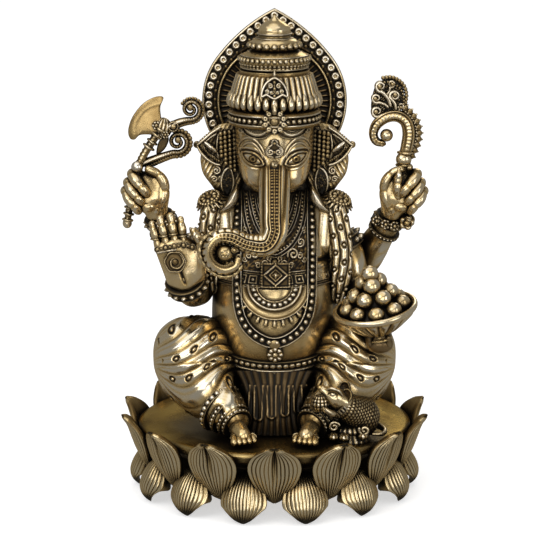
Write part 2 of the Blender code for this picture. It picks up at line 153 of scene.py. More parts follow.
def lengths(path: Array) -> Array:
    """The distance along a path at each of its points, starting from 0."""
    return np.r_[0.0, np.linalg.norm(np.diff(path[:, :3], axis=0), axis=1).cumsum()]


def turned_about(points: Array, axis: str, degrees: float) -> Array:
    """Points turned by the right-hand rule about the named axis."""
    first, second = {"x": (1, 2), "y": (2, 0), "z": (0, 1)}[axis]
    angle = math.radians(degrees)
    moved = np.array(points, float)
    a, b = moved[..., first].copy(), moved[..., second].copy()
    moved[..., first] = a * math.cos(angle) - b * math.sin(angle)
    moved[..., second] = a * math.sin(angle) + b * math.cos(angle)
    return moved


# Closed shells ----------------------------------------------------------------------------------


@dataclass
class Shell:
    """A closed surface: points in millimetres, quads, triangles, and a value of patina and painted shade for
    each point.
    """

    points: Array
    quads: Array
    triangles: Array
    patina: Array

    def volume(self) -> float:
        """Six times the enclosed volume, from triple products: above 0 when the faces point out."""
        middle = self.points.mean(axis=0)
        sides = np.vstack([self.quads[:, [0, 1, 2]], self.quads[:, [0, 2, 3]], self.triangles])
        a, b, c = (self.points[sides[:, corner]] - middle for corner in range(3))
        return float(np.einsum("ij,ij->", a, np.cross(b, c)))

    def outward(self) -> "Shell":
        """The same shell with its faces turned to point out."""
        if self.volume() >= 0:
            return self
        return Shell(self.points, self.quads[:, ::-1], self.triangles[:, ::-1], self.patina)


def join(shells: Sequence[Shell]) -> Shell:
    """Several shells as one, with their faces renumbered."""
    starts = np.cumsum([0] + [len(shell.points) for shell in shells[:-1]])
    return Shell(
        np.vstack([shell.points for shell in shells]),
        np.vstack([shell.quads + start for shell, start in zip(shells, starts)]),
        np.vstack([shell.triangles + start for shell, start in zip(shells, starts)]),
        np.concatenate([shell.patina for shell in shells]),
    )


def thinned(points: Array, values: Array, loop: bool, finest: float) -> tuple[Array, Array]:
    """Fewer rows and columns where a grid is finer than the chasing needs.

    The longest row and the longest column say how many cells of the finest side fit along them, and a
    grid never keeps more than the most cells. The rows and columns that are kept stand at even steps
    of the old ones, blended between neighbours.

    Args:
        points: rows by columns by 3.
        values: one for each point.
        loop: whether the rows wrap round, as the columns do.
        finest: the side of the smallest cell.

    Returns:
        The points and the values that are left.
    """
    crowded = max(1.0, math.sqrt(values.size / MOST_CELLS))
    for axis in (0, 1):
        wraps, count = loop or axis == 1, points.shape[axis]
        closed = np.concatenate([points, points.take([0], axis)], axis) if wraps else points
        longest = np.linalg.norm(np.diff(closed, axis=axis), axis=-1).sum(axis=axis).max()
        wanted = max(8, min(math.ceil(longest / finest), int(count / crowded)))
        if wanted < count:
            places = np.linspace(0, count if wraps else count - 1, wanted, endpoint=not wraps)
            low = np.floor(places).astype(int)
            share = (places - low).reshape((-1, 1) if axis == 0 else (1, -1))
            high = (low + 1) % count if wraps else np.minimum(low + 1, count - 1)
            points = (points.take(low, axis) * (1 - share[..., None])
                      + points.take(high, axis) * share[..., None])
            values = values.take(low, axis) * (1 - share) + values.take(high, axis) * share
    return points, values


def grid(points: Array, patina: Union[float, Array] = 0.2, loop: bool = False,
         finest: float = FINEST) -> Shell:
    """A closed shell from a grid of points whose columns wrap round.

    Args:
        points: rows by columns by 3.
        patina: one value, or one for each point.
        loop: True joins the last row to the first; False closes both with a fan to their middle.
        finest: the side of the smallest cell that the chasing needs.

    Returns:
        The shell, with its faces pointing out.
    """
    points, values = thinned(points, np.broadcast_to(np.asarray(patina, float), points.shape[:2]), loop,
                             finest)
    rows, columns = points.shape[:2]
    index = np.arange(rows * columns).reshape(rows, columns)
    beside = np.roll(index, -1, axis=1)
    if loop:
        above, above_beside = np.roll(index, -1, axis=0), np.roll(beside, -1, axis=0)
        quads = np.stack([index, beside, above_beside, above], axis=-1)
    else:
        quads = np.stack([index[:-1], beside[:-1], beside[1:], index[1:]], axis=-1)
    flat, values = points.reshape(-1, 3), values.reshape(-1)
    triangles = np.zeros((0, 3), int)
    if not loop:
        poles = np.stack([points[0].mean(axis=0), points[-1].mean(axis=0)])
        values = np.r_[values, values[:columns].mean(), values[-columns:].mean()]
        first = np.stack([beside[0], index[0], np.full(columns, rows * columns)], axis=-1)
        last = np.stack([index[-1], beside[-1], np.full(columns, rows * columns + 1)], axis=-1)
        flat = np.vstack([flat, poles])
        triangles = np.vstack([first, last])
    return Shell(flat, quads.reshape(-1, 4), triangles, values).outward()


def grid_normals(points: Array, loop: bool = False) -> Array:
    """Outward unit normals of a grid whose columns wrap: the cross product of its two central differences."""
    around = np.roll(points, -1, axis=1) - np.roll(points, 1, axis=1)
    if loop:
        along = np.roll(points, -1, axis=0) - np.roll(points, 1, axis=0)
    else:
        along = np.gradient(points, axis=0)
    normals = unit(np.cross(along, around))
    outwards = points - points.mean(axis=1, keepdims=True)
    return normals if np.einsum("ijk,ijk->", normals, outwards) > 0 else -normals


def raised(points: Array, height: Array, loop: bool = False, reach: int = 4, depth: float = 0.3,
           ground: float = 0.25, finest: float = FINEST) -> Shell:
    """A grid moved along its normals by a relief, with the patina that the relief gives."""
    moved = points + grid_normals(points, loop) * height[..., None]
    return grid(moved, recess(height, reach, depth, ground), loop, finest)


def tube(path: Array, radius: Union[float, Array], sides: int = 12, across: Sequence[float] = (0, 1, 0),
         flat: float = 1.0, relief: Union[Height, None] = None, loop: bool = False, patina: float = 0.2,
         reach: int = 4, depth: float = 0.3, finest: float = FINEST) -> Shell:
    """A round bar along a path, with rounded ends.

    At each point the section is an ellipse in the plane square to the path: one half axis is the
    radius, along the cross product of the path's direction with across, and the other is flat times it.

    Args:
        path: the middle line.
        radius: one value, or one for each point.
        sides: points in a section.
        across: a direction that the path never runs along, one for all or one for each point.
        flat: the second half axis over the first.
        relief: the height added along the normal, from the distance along and the angle in the section.
        loop: True for a ring, whose path doesn't repeat its first point.
        patina: the value on a bar with no relief.
        reach: cells that the relief's patina looks round.
        depth: the relief's drop for full patina.
        finest: the side of the smallest cell.

    Returns:
        The closed shell.
    """
    path = np.asarray(path, float)[:, :3]
    radii = np.broadcast_to(np.asarray(radius, float), len(path))
    across = np.broadcast_to(np.asarray(across, float), path.shape)
    if loop:
        along = unit(np.roll(path, -1, axis=0) - np.roll(path, 1, axis=0))
    else:
        along = unit(np.gradient(path, axis=0))
        across = np.vstack([np.repeat(across[:1], 4, 0), across, np.repeat(across[-1:], 4, 0)])
        tilt = np.radians([80.0, 60.0, 40.0, 20.0])
        before = path[0] - np.sin(tilt)[:, None] * along[0] * radii[0] * flat
        after = path[-1] + np.sin(tilt[::-1])[:, None] * along[-1] * radii[-1] * flat
        path = np.vstack([before, path, after])
        radii = np.r_[np.cos(tilt) * radii[0], radii, np.cos(tilt[::-1]) * radii[-1]]
        along = np.vstack([np.repeat(along[:1], 4, 0), along, np.repeat(along[-1:], 4, 0)])
    side = unit(np.cross(along, across))
    other = np.cross(side, along)
    turn = np.linspace(0, TURN, sides, endpoint=False)
    section = (np.cos(turn)[None, :, None] * side[:, None]
               + flat * np.sin(turn)[None, :, None] * other[:, None])
    points = path[:, None] + radii[:, None, None] * section
    if relief is None:
        return grid(points, patina, loop, finest)
    distance = lengths(path)[:, None] + 0 * turn[None]
    return raised(points, relief(distance, turn[None] + 0 * distance), loop, reach, depth, patina, finest)


def band(path: Array, normals: Array, half: Union[float, Array], height: Height, cells: int = 16,
         sunk: float = 0.8, loop: bool = False, depth: float = 0.3, ground: float = 0.35) -> Shell:
    """A strap or moulding that lies on a surface along a path.

    The top is the path plus w times half along the sideways direction, raised along the normal by
    height(distance along, w), for w from -1 to 1. The underside is the same strip sunk below the path.

    Args:
        path: points on the surface.
        normals: the surface's normal at each of them.
        half: half the strap's width, one value or one for each point.
        height: the top's height from distance along in millimetres and w.
        cells: cells across the top.
        sunk: how deep the underside lies.
        loop: True for a strap that closes on itself.
        depth: the drop for full patina.
        ground: the patina on flat ground.

    Returns:
        The closed shell.
    """
    path = np.asarray(path, float)[:, :3]
    if loop:
        along = unit(np.roll(path, -1, axis=0) - np.roll(path, 1, axis=0))
    else:
        along = unit(np.gradient(path, axis=0))
    side = unit(np.cross(along, normals))
    w = np.linspace(-1, 1, cells + 1)
    reach_out = np.broadcast_to(np.asarray(half, float), len(path))[:, None, None]
    rise = height(lengths(path)[:, None] + 0 * w[None], w[None] + 0 * path[:, :1])
    top = path[:, None] + side[:, None] * w[None, :, None] * reach_out + normals[:, None] * rise[..., None]
    under_w = np.array([0.92, 0.0, -0.92])
    under = path[:, None] + side[:, None] * under_w[None, :, None] * reach_out - normals[:, None] * sunk
    patina = np.hstack([recess(rise, 3, depth, ground), np.full((len(path), 3), 1.0)])
    return grid(np.concatenate([top, under], axis=1), patina, loop, FINE_CHASING)


BALL_TILT = np.radians(np.linspace(15, 165, 6))[:, None]
BALL_TURN = np.linspace(0, TURN, 10, endpoint=False)[None]
BALL = grid(np.stack([
    np.sin(BALL_TILT) * np.cos(BALL_TURN),
    np.sin(BALL_TILT) * np.sin(BALL_TURN),
    np.cos(BALL_TILT) + 0 * BALL_TURN,
], axis=-1), 0.0)
BALL.points[-2:, 2] = (1.0, -1.0)


def beads(centres: Array, radii: Union[float, Array], patina: float = 0.05, squash: float = 1.0,
          normals: Union[Array, None] = None) -> Shell:
    """Small balls of a few dozen faces, with painted shade round their waists.

    Args:
        centres: one row for each ball.
        radii: one value, or one for each.
        patina: the value at their tops.
        squash: their thickness along the normal over their width.
        normals: the direction that each one's flat way faces; +Z when left out.

    Returns:
        All of them in one shell.
    """
    centres = np.atleast_2d(np.asarray(centres, float))[:, :3]
    size = np.broadcast_to(np.asarray(radii, float), len(centres))[:, None, None]
    facing = np.broadcast_to(np.array([0.0, 0.0, 1.0]) if normals is None else normals, centres.shape)
    helper = np.where(np.abs(facing[:, 2:]) > 0.9, [[1.0, 0.0, 0.0]], [[0.0, 0.0, 1.0]])
    side = unit(np.cross(facing, helper))
    other = np.cross(facing, side)
    local = BALL.points[None] * np.array([1.0, 1.0, squash])
    placed = (local[..., :1] * side[:, None] + local[..., 1:2] * other[:, None]
              + local[..., 2:] * facing[:, None])
    points = (centres[:, None] + size * placed).reshape(-1, 3)
    shift = (np.arange(len(centres)) * len(BALL.points))[:, None, None]
    quads = (BALL.quads[None] + shift).reshape(-1, 4)
    triangles = (BALL.triangles[None] + shift).reshape(-1, 3)
    # Painted shade: each ball is darker round its waist, where it turns away and meets the surface.
    shade = np.clip(patina + 0.45 * (1 - np.abs(BALL.points[:, 2])) ** 2, 0, 1)
    return Shell(points, quads, triangles, np.tile(shade, len(centres)))


def oval(centre: Sequence[float], radii: Sequence[float], rows: int = 28, columns: int = 40,
         patina: float = 0.1, relief: Union[Height, None] = None) -> Shell:
    """An ellipsoid: its radii times sine and cosine of a tilt and a turn, with an optional relief of both."""
    tilt = np.linspace(0.06, math.pi - 0.06, rows)[:, None]
    turn = np.linspace(0, TURN, columns, endpoint=False)[None]
    points = np.stack([np.sin(tilt) * np.cos(turn), np.sin(tilt) * np.sin(turn), np.cos(tilt) + 0 * turn],
                      axis=-1)
    points = np.asarray(centre, float) + points * np.asarray(radii, float)
    if relief is None:
        return grid(points, patina)
    return raised(points, relief(tilt + 0 * turn, turn + 0 * tilt), ground=patina)


def lathe(profile: Sequence[Sequence[float]], rows: int, columns: int, relief: Union[Height, None] = None,
          smooth: bool = False, closed: bool = False, reach: int = 4, depth: float = 0.3,
          ground: float = 0.2, finest: float = FINEST) -> Shell:
    """A turned form: (radius, z) carried round Z, with a relief of distance along the profile and turn.

    Args:
        profile: (radius, z) from one end to the other.
        rows: points read along it, evenly spaced.
        columns: points round.
        relief: height from distance along and turn.
        smooth: True for a curve through the profile's points, False for straight runs.
        closed: True for a ring, whose profile ends where it starts.
        reach: cells that the patina looks round.
        depth: the drop for full patina.
        ground: the patina on flat ground.
        finest: the side of the smallest cell.

    Returns:
        The closed shell.
    """
    knots = np.asarray([(radius, 0.0, z) for radius, z in profile], float)
    if smooth:
        line = spline(knots, rows)
    else:
        run = lengths(knots)
        places = np.linspace(0, run[-1], rows + int(closed))[:rows]
        line = np.column_stack([np.interp(places, run, column) for column in knots.T])
    turn = np.linspace(0, TURN, columns, endpoint=False)[None]
    radius = np.maximum(line[:, :1], 0.02)
    points = np.stack([radius * np.cos(turn), radius * np.sin(turn), line[:, 2:] + 0 * turn], axis=-1)
    distance = lengths(line)[:, None] + 0 * turn
    height = relief(distance, turn + 0 * distance) if relief else 0 * distance
    height = height * step(0.0, 1.5, radius)
    if closed:
        return grid(points + grid_normals(points, True) * height[..., None],
                    recess(height, reach, depth, ground), True)
    return raised(points, height, False, reach, depth, ground, finest)


def sheet_patch(surface: Callable[[Array, Array], tuple[Array, Array]], s: Array, t: Array, height: Array,
                sunk: float = 0.7, reach: int = 3, depth: float = 0.3, ground: float = 0.3) -> Shell:
    """A low relief laid on a surface: its top is the surface at (s, t) raised by height, its back is sunk.

    Args:
        surface: gives the points and normals of the body at two parameters.
        s: the first parameter on a grid.
        t: the second parameter on the same grid.
        height: the relief on that grid.
        sunk: how deep the back lies.
        reach: cells that the patina looks round.
        depth: the drop for full patina.
        ground: the patina on flat ground.

    Returns:
        The closed shell.
    """
    points, normals = surface(s, t)
    top = points + normals * height[..., None]
    back = (points - normals * sunk)[:, ::-1][:, 1:-1:2]
    patina = np.hstack([recess(height, reach, depth, ground), np.ones(back.shape[:2])])
    return grid(np.concatenate([top, back], axis=1), patina)


# Forms that ornaments are laid on -----------------------------------------------------------------


class StackedForm:
    """A body of level ellipses, (z, middle x, middle y, radius x, radius y) joined by a smooth curve."""

    def __init__(self, levels: Sequence[Sequence[float]]) -> None:
        """Reads the smooth curve through the levels into a table."""
        rows = [(0.0, 0.0, level[0], *level) for level in levels]
        self.table = spline(rows, 600)[:, 3:]
        self.low = levels[0][0]
        self.high = levels[-1][0]

    def at(self, z: Array) -> tuple[Array, Array, Array, Array]:
        """The ellipse's middle and radii at each height."""
        return tuple(np.interp(z, self.table[:, 0], self.table[:, column]) for column in range(1, 5))

    def around(self, turn: Array, z: Array) -> Array:
        """Points at an angle round the body, from +X towards +Y, and a height."""
        x, y, radius_x, radius_y = self.at(z)
        return np.stack([x + radius_x * np.cos(turn), y + radius_y * np.sin(turn), z + 0 * turn], axis=-1)

    def laid(self, places: Sequence[Sequence[float]], count: int, lift: float = 0.0,
             behind: bool = False) -> tuple[Array, Array]:
        """A smooth line on the body's front or back through (x, z) places.

        Args:
            places: the line's places as seen from the front.
            count: points along it.
            lift: how far it floats above the skin.
            behind: True for the back.

        Returns:
            Its points and the skin's normals there.
        """
        line = spline([(x, 0.0, z) for x, z in places], count)
        points, normals = (self.back if behind else self.front)(line[:, 0], line[:, 2])
        return points + lift * normals, normals

    def normal(self, turn: Array, z: Array) -> Array:
        """The outward normal there, from small differences."""
        small = 1e-3
        across = self.around(turn + small, z) - self.around(turn - small, z)
        up = self.around(turn, z + small * 50) - self.around(turn, z - small * 50)
        return unit(np.cross(across, up))

    def front(self, x: Array, z: Array) -> tuple[Array, Array]:
        """The point of the body's front that lies at (x, z) as seen from the front, and its normal."""
        return self._seen(x, z, -1.0)

    def back(self, x: Array, z: Array) -> tuple[Array, Array]:
        """The same for the body's back."""
        return self._seen(x, z, 1.0)

    def _seen(self, x: Array, z: Array, side: float) -> tuple[Array, Array]:
        """The point and normal at (x, z) on the front, where side is -1, or on the back, where it is 1."""
        middle, _, radius, _ = self.at(z)
        share = np.clip((np.asarray(x, float) - middle) / radius, -0.995, 0.995)
        turn = side * np.arccos(share)
        return self.around(turn, np.asarray(z, float)), self.normal(turn, np.asarray(z, float))


class Limb:
    """A body of round sections along a curve through (x, y, z, radius) stations."""

    def __init__(self, stations: Sequence[Sequence[float]], across: Sequence[float], rows: int = 90) -> None:
        """Keeps the curve, read at that many rows, and a direction that it never runs along."""
        self.line = spline(stations, rows)
        self.across = across

    def skin(self, sides: int = 48, relief: Union[Height, None] = None, flat: float = 1.0, reach: int = 4,
             depth: float = 0.4, patina: float = 0.15, finest: float = FINEST) -> Shell:
        """The limb's closed shell, with a relief of distance along and angle round."""
        return tube(self.line, self.line[:, 3], sides, self.across, flat, relief, False, patina, reach,
                    depth, finest)

    def hoop(self, share: float, rise: float, half: float, height: Height, count: int = 220, cells: int = 14,
             tip: float = 0.0) -> Shell:
        """A bracelet round the limb.

        Args:
            share: where along the limb, from 0 to 1.
            rise: how far it stands off the skin.
            half: half its width.
            height: its relief from distance round and w.
            count: points round.
            cells: cells across.
            tip: degrees that it leans along the limb.

        Returns:
            The closed shell.
        """
        index = share * (len(self.line) - 1)
        here = min(int(index), len(self.line) - 2)
        centre, radius = self.line[here, :3], self.line[here, 3] + rise
        along = unit(self.line[here + 1, :3] - self.line[here, :3])
        side = unit(np.cross(along, np.asarray(self.across, float)))
        other = np.cross(side, along)
        turn = np.linspace(0, TURN, count, endpoint=False)[:, None]
        outward = np.cos(turn) * side + np.sin(turn) * other
        path = centre + radius * outward + along * radius * math.tan(math.radians(tip)) * np.sin(turn)
        return band(path, unit(outward), half, height, cells, rise + 0.9, True, ground=0.2)


@dataclass(frozen=True)
class Lobe:
    """A part of a blended form: a bar from a to b whose radius runs from ra to rb, in millimetres."""

    a: tuple[float, float, float]
    b: tuple[float, float, float]
    ra: float
    rb: float

    def distance(self, points: Array) -> Array:
        """How far points lie outside the bar: the distance to its line, less the radius there."""
        start, end = np.array(self.a, float), np.array(self.b, float)
        run = end - start
        share = np.clip((points - start) @ run / max(float(run @ run), 1e-9), 0.0, 1.0)
        return (np.linalg.norm(points - start - share[..., None] * run, axis=-1) - self.ra
                - share * (self.rb - self.ra))


def blended(centre: Sequence[float], pole: Sequence[float], lobes: Sequence[Lobe], blend: float, rows: int,
            columns: int) -> tuple[Array, Array, Array]:
    """The skin of several bars melted together, as seen from a point inside them.

    From centre, rays run out at a tilt from the pole and a turn round it. Along each ray the place is
    found, by halving, where the smooth least distance to the bars, minus blend times the logarithm of
    the sum of e to the minus distance over blend, is 0.

    Args:
        centre: the point inside.
        pole: the direction of tilt 0.
        lobes: the bars.
        blend: how widely they melt together, in millimetres.
        rows: steps of tilt.
        columns: steps of turn.

    Returns:
        The grid of points, its tilt and its turn.
    """
    middle = np.asarray(centre, float)
    axis = unit(np.asarray(pole, float))
    side = unit(np.cross(axis, [0.13, 0.31, 0.94]))
    other = np.cross(axis, side)
    tilt = np.linspace(0.02, math.pi - 0.02, rows)[:, None] + np.zeros((1, columns))
    turn = np.linspace(0, TURN, columns, endpoint=False)[None] + np.zeros((rows, 1))
    ray = np.cos(tilt)[..., None] * axis + np.sin(tilt)[..., None] * (
        np.cos(turn)[..., None] * side + np.sin(turn)[..., None] * other)
    near, far = np.zeros(tilt.shape), np.full(tilt.shape, 90.0)
    for _ in range(24):
        reach = (near + far) / 2
        place = middle + ray * reach[..., None]
        total = sum(np.exp(-np.clip(lobe.distance(place), -60, 60) / blend) for lobe in lobes)
        outside = -blend * np.log(np.maximum(total, 1e-30)) > 0
        far = np.where(outside, reach, far)
        near = np.where(outside, near, reach)
    return middle + ray * near[..., None], tilt, turn


# Ornament that repeats over the statue ------------------------------------------------------------


def rims(w: Array, at: float = 0.86, width: float = 0.10) -> Array:
    """Two raised lines of height 1 near a strap's edges: bells round w = -at and w = +at."""
    return bell(np.abs(w) - at, width)


def squares(s: Array, across: Array, pitch: float, half: float) -> Array:
    """A row of raised square frames, each with a stud in it."""
    away = np.maximum(np.abs(nearest(s, pitch)), np.abs(across))
    return 0.8 * bell(away - half, 0.35) + dome(np.hypot(nearest(s, pitch), across), 0.45 * half)


def twisted(strands: int, pitch: float, depth: float) -> Height:
    """The relief of a twisted rope: the strands' cosines run round as the distance along grows."""
    return lambda s, angle: depth * np.abs(np.cos(0.5 * strands * angle + math.pi * s / pitch)) - depth


def whorls(x: Array, z: Array, scale: float) -> Array:
    """A crowded scroll ground between -1 and 1: a product of sines, each bent by the other axis."""
    a = np.sin(TURN * x / scale + 1.6 * np.sin(TURN * z / (1.7 * scale)))
    b = np.sin(TURN * z / (0.9 * scale) + 1.4 * np.sin(TURN * x / (1.5 * scale)))
    return a * b


def facing_axes(normal: Sequence[float]) -> tuple[Array, Array, Array]:
    """Two directions square to a normal, the second as near to +Z as it can be, and the unit normal."""
    facing = unit(np.asarray(normal, float))
    helper = np.array([0.0, 1.0, 0.0]) if abs(facing[2]) > 0.9 else np.array([0.0, 0.0, 1.0])
    side = unit(np.cross(helper, facing))
    return side, np.cross(facing, side), facing


def disc(centre: Sequence[float], normal: Sequence[float], radius: float, height: Height, rows: int = 26,
         columns: int = 64, edge: Union[Height, None] = None, sunk: float = 1.2, ground: float = 0.3,
         squeeze: float = 1.0, depth: float = 0.3) -> Shell:
    """A round plate with a relief.

    The top at a share of the radius and a turn is the centre plus share times radius along the turned
    direction, raised by the relief; a factor from the turn may scallop its edge.

    Args:
        centre: its middle, on the surface that it lies on.
        normal: the way it faces.
        radius: its radius.
        height: the relief from share (0 to 1) and turn.
        rows: rings from the middle out.
        columns: points round.
        edge: the factor on the radius, from share and turn.
        sunk: how deep its back lies.
        ground: the patina on flat ground.
        squeeze: its height over its width.
        depth: the relief's drop for full patina.

    Returns:
        The closed shell.
    """
    side, up, facing = facing_axes(normal)
    share = np.linspace(0.02, 1, rows)[:, None]
    turn = np.linspace(0, TURN, columns, endpoint=False)[None]
    reach = radius * share * (edge(share, turn) if edge else 1.0 + 0 * turn)
    rise = height(share + 0 * turn, turn + 0 * share)
    flat = np.asarray(centre, float) + (reach * np.cos(turn))[..., None] * side
    flat = flat + squeeze * (reach * np.sin(turn))[..., None] * up
    top = flat + rise[..., None] * facing
    rim = flat[-1:] - 0.6 * sunk * facing
    back = flat[-1:] * 0.94 + 0.06 * np.asarray(centre, float) - sunk * facing
    patina = np.vstack([recess(rise, 2, depth, ground), np.ones((2, columns))])
    return grid(np.concatenate([top, rim, back]), patina)


def flower(petals: int, middle: float = 0.3, rise: float = 1.0) -> Height:
    """A rosette's relief: a domed middle, then petals that swell along their length, with gaps between."""
    def height(share: Array, turn: Array) -> Array:
        """The relief at a share of the radius and a turn."""
        centre = rise * 1.4 * np.sqrt(np.maximum(1 - (share / middle) ** 2, 0))
        swell = np.sin(math.pi * np.clip((share - middle) / (1 - middle), 0, 1)) ** 0.7
        return centre + rise * swell * np.abs(np.cos(0.5 * petals * turn)) ** 0.6 * (share > middle)
    return height


def scalloped(petals: int, depth: float = 0.12) -> Height:
    """An edge that dips between petals."""
    return lambda share, turn: 1 - depth * share * (1 - np.abs(np.cos(0.5 * petals * turn)))


def curl(centre: Sequence[float], start: float, end: float, first: float, turns: float,
         count: int = 60) -> Array:
    """A flat spiral of (x, z) places: the radius shrinks evenly from start to end as the angle grows."""
    share = np.linspace(0, 1, count)
    angle = np.radians(first) + TURN * turns * share
    radius = start + (end - start) * share
    return np.column_stack([centre[0] + radius * np.cos(angle), centre[1] + radius * np.sin(angle)])


def mirrored(shell: Shell) -> Shell:
    """The same shell on the other side of the plane x = 0."""
    return Shell(shell.points * np.array([-1.0, 1.0, 1.0]), shell.quads[:, ::-1], shell.triangles[:, ::-1],
                 shell.patina)


def both(shells: Sequence[Shell]) -> list[Shell]:
    """The shells and their mirror images."""
    return [*shells, *[mirrored(shell) for shell in shells]]


def plate(outline: Array, centre: Sequence[float], front: float, back: float,
          relief: Union[Height, None] = None, behind: Union[Height, None] = None, rows: int = 40,
          ground: float = 0.3, reach: int = 3, depth: float = 0.3, sharp: float = 6.0) -> Shell:
    """An upright plate with an outline in (x, z), thinning to a rounded rim.

    Each ring of points is the outline shrunk towards the centre by a share; the front stands at
    y = front less the relief of (x, z), and both faces meet at the rim by the root of 1 less the
    share to the power sharp.

    Args:
        outline: (x, z) round the edge.
        centre: (x, z) inside it.
        front: y of the front face.
        back: y of the back face.
        relief: height of the front's relief from x and z.
        behind: height of the back's relief from x and z.
        rows: rings on each face.
        ground: the patina on flat ground.
        reach: cells that the patina looks round.
        depth: the relief's drop for full patina.
        sharp: how late the faces start to round off.

    Returns:
        The closed shell.
    """
    edge = np.asarray(outline, float)[None]
    inner = np.asarray(centre, float)
    share = np.r_[0.03, np.linspace(0.06, 1, rows - 1)][:, None]
    flat = inner + share[..., None] * (edge - inner)
    x, z = flat[..., 0], flat[..., 1]
    middle, thick = (front + back) / 2, (back - front) / 2
    fall = np.sqrt(np.maximum(1 - share**sharp, 0.0)) + 0 * x
    rise = relief(x, z) if relief else 0 * x
    rise_back = behind(x, z) if behind else 0 * x
    near = np.stack([x, middle - (thick + rise) * fall, z], axis=-1)
    far = np.stack([x, middle + (thick + rise_back) * fall, z], axis=-1)[::-1][1:]
    patina = np.vstack([recess(rise, reach, depth, ground),
                        recess(rise_back, reach, depth, 0.35)[::-1][1:]])
    return grid(np.concatenate([near, far]), patina)


def tapered(places: Sequence[Sequence[float]], thick: Sequence[float], count: int = 60, sides: int = 10,
            across: Sequence[float] = (0, 1, 0), patina: float = 0.12) -> Shell:
    """A smooth bar through (x, y, z) places whose radius passes evenly through the thick values."""
    path = spline(places, count)
    radius = np.interp(np.linspace(0, 1, count), np.linspace(0, 1, len(thick)), thick)
    return tube(path, radius, sides, across, patina=patina)


# Finishes -----------------------------------------------------------------------------------------


class Value:
    """One output of a material's nodes. Arithmetic on it adds Math nodes to the same graph."""

    def __init__(self, graph: "Graph", socket: bpy.types.NodeSocket) -> None:
        """Wraps a socket of a graph."""
        self.graph = graph
        self.socket = socket

    def _math(self, operation: str, first: Number, second: Number, clamp: bool = False) -> "Value":
        """One Math node on two values."""
        settings = {"operation": operation, "use_clamp": clamp}
        return self.graph.node("ShaderNodeMath", settings, {0: first, 1: second})

    def __add__(self, other: Number) -> "Value":
        """The sum."""
        return self._math("ADD", self, other)

    def __radd__(self, other: Number) -> "Value":
        """The sum, with the number first."""
        return self._math("ADD", other, self)

    def __sub__(self, other: Number) -> "Value":
        """The difference."""
        return self._math("SUBTRACT", self, other)

    def __rsub__(self, other: Number) -> "Value":
        """The difference, with the number first."""
        return self._math("SUBTRACT", other, self)

    def __mul__(self, other: Number) -> "Value":
        """The product."""
        return self._math("MULTIPLY", self, other)

    def __rmul__(self, other: Number) -> "Value":
        """The product, with the number first."""
        return self._math("MULTIPLY", other, self)

    def within(self) -> "Value":
        """The value held between 0 and 1."""
        return self._math("ADD", self, 0.0, clamp=True)

    def or_more(self, other: Number) -> "Value":
        """The larger of two values."""
        return self._math("MAXIMUM", self, other)


class Graph:
    """A material and the nodes in it."""

    def __init__(self, name: str) -> None:
        """Starts an empty material."""
        self.material = bpy.data.materials.new(name)
        self.material.use_nodes = True
        self.tree = self.material.node_tree
        self.tree.nodes.clear()

    def node(self, kind: str, settings: dict, sockets: dict, output: Union[int, str] = 0) -> Value:
        """Adds a node.

        Args:
            kind: the node's type.
            settings: its own settings, set first; "stops" is a ramp's list of (place, colour).
            sockets: values or links by socket name or number.
            output: which output to return.

        Returns:
            That output.
        """
        made = self.tree.nodes.new(kind)
        for key, setting in settings.items():
            if key == "stops":
                while len(made.color_ramp.elements) < len(setting):
                    made.color_ramp.elements.new(1.0)
                for element, (place, colour) in zip(made.color_ramp.elements, setting):
                    element.position = place
                    element.color = (*colour, 1.0)
            else:
                setattr(made, key, setting)
        for key, value in sockets.items():
            if isinstance(value, Value):
                self.tree.links.new(value.socket, made.inputs[key])
            else:
                made.inputs[key].default_value = value
        return Value(self, made.outputs[output])

    def surface(self, sockets: dict) -> bpy.types.Material:
        """Ends the graph in a Principled shader with these values or links, and returns the material."""
        shader = self.node("ShaderNodeBsdfPrincipled", {}, sockets)
        self.node_output(shader)
        return self.material

    def node_output(self, shader: Value) -> None:
        """Links a shader to the material's output."""
        made = self.tree.nodes.new("ShaderNodeOutputMaterial")
        self.tree.links.new(shader.socket, made.inputs["Surface"])


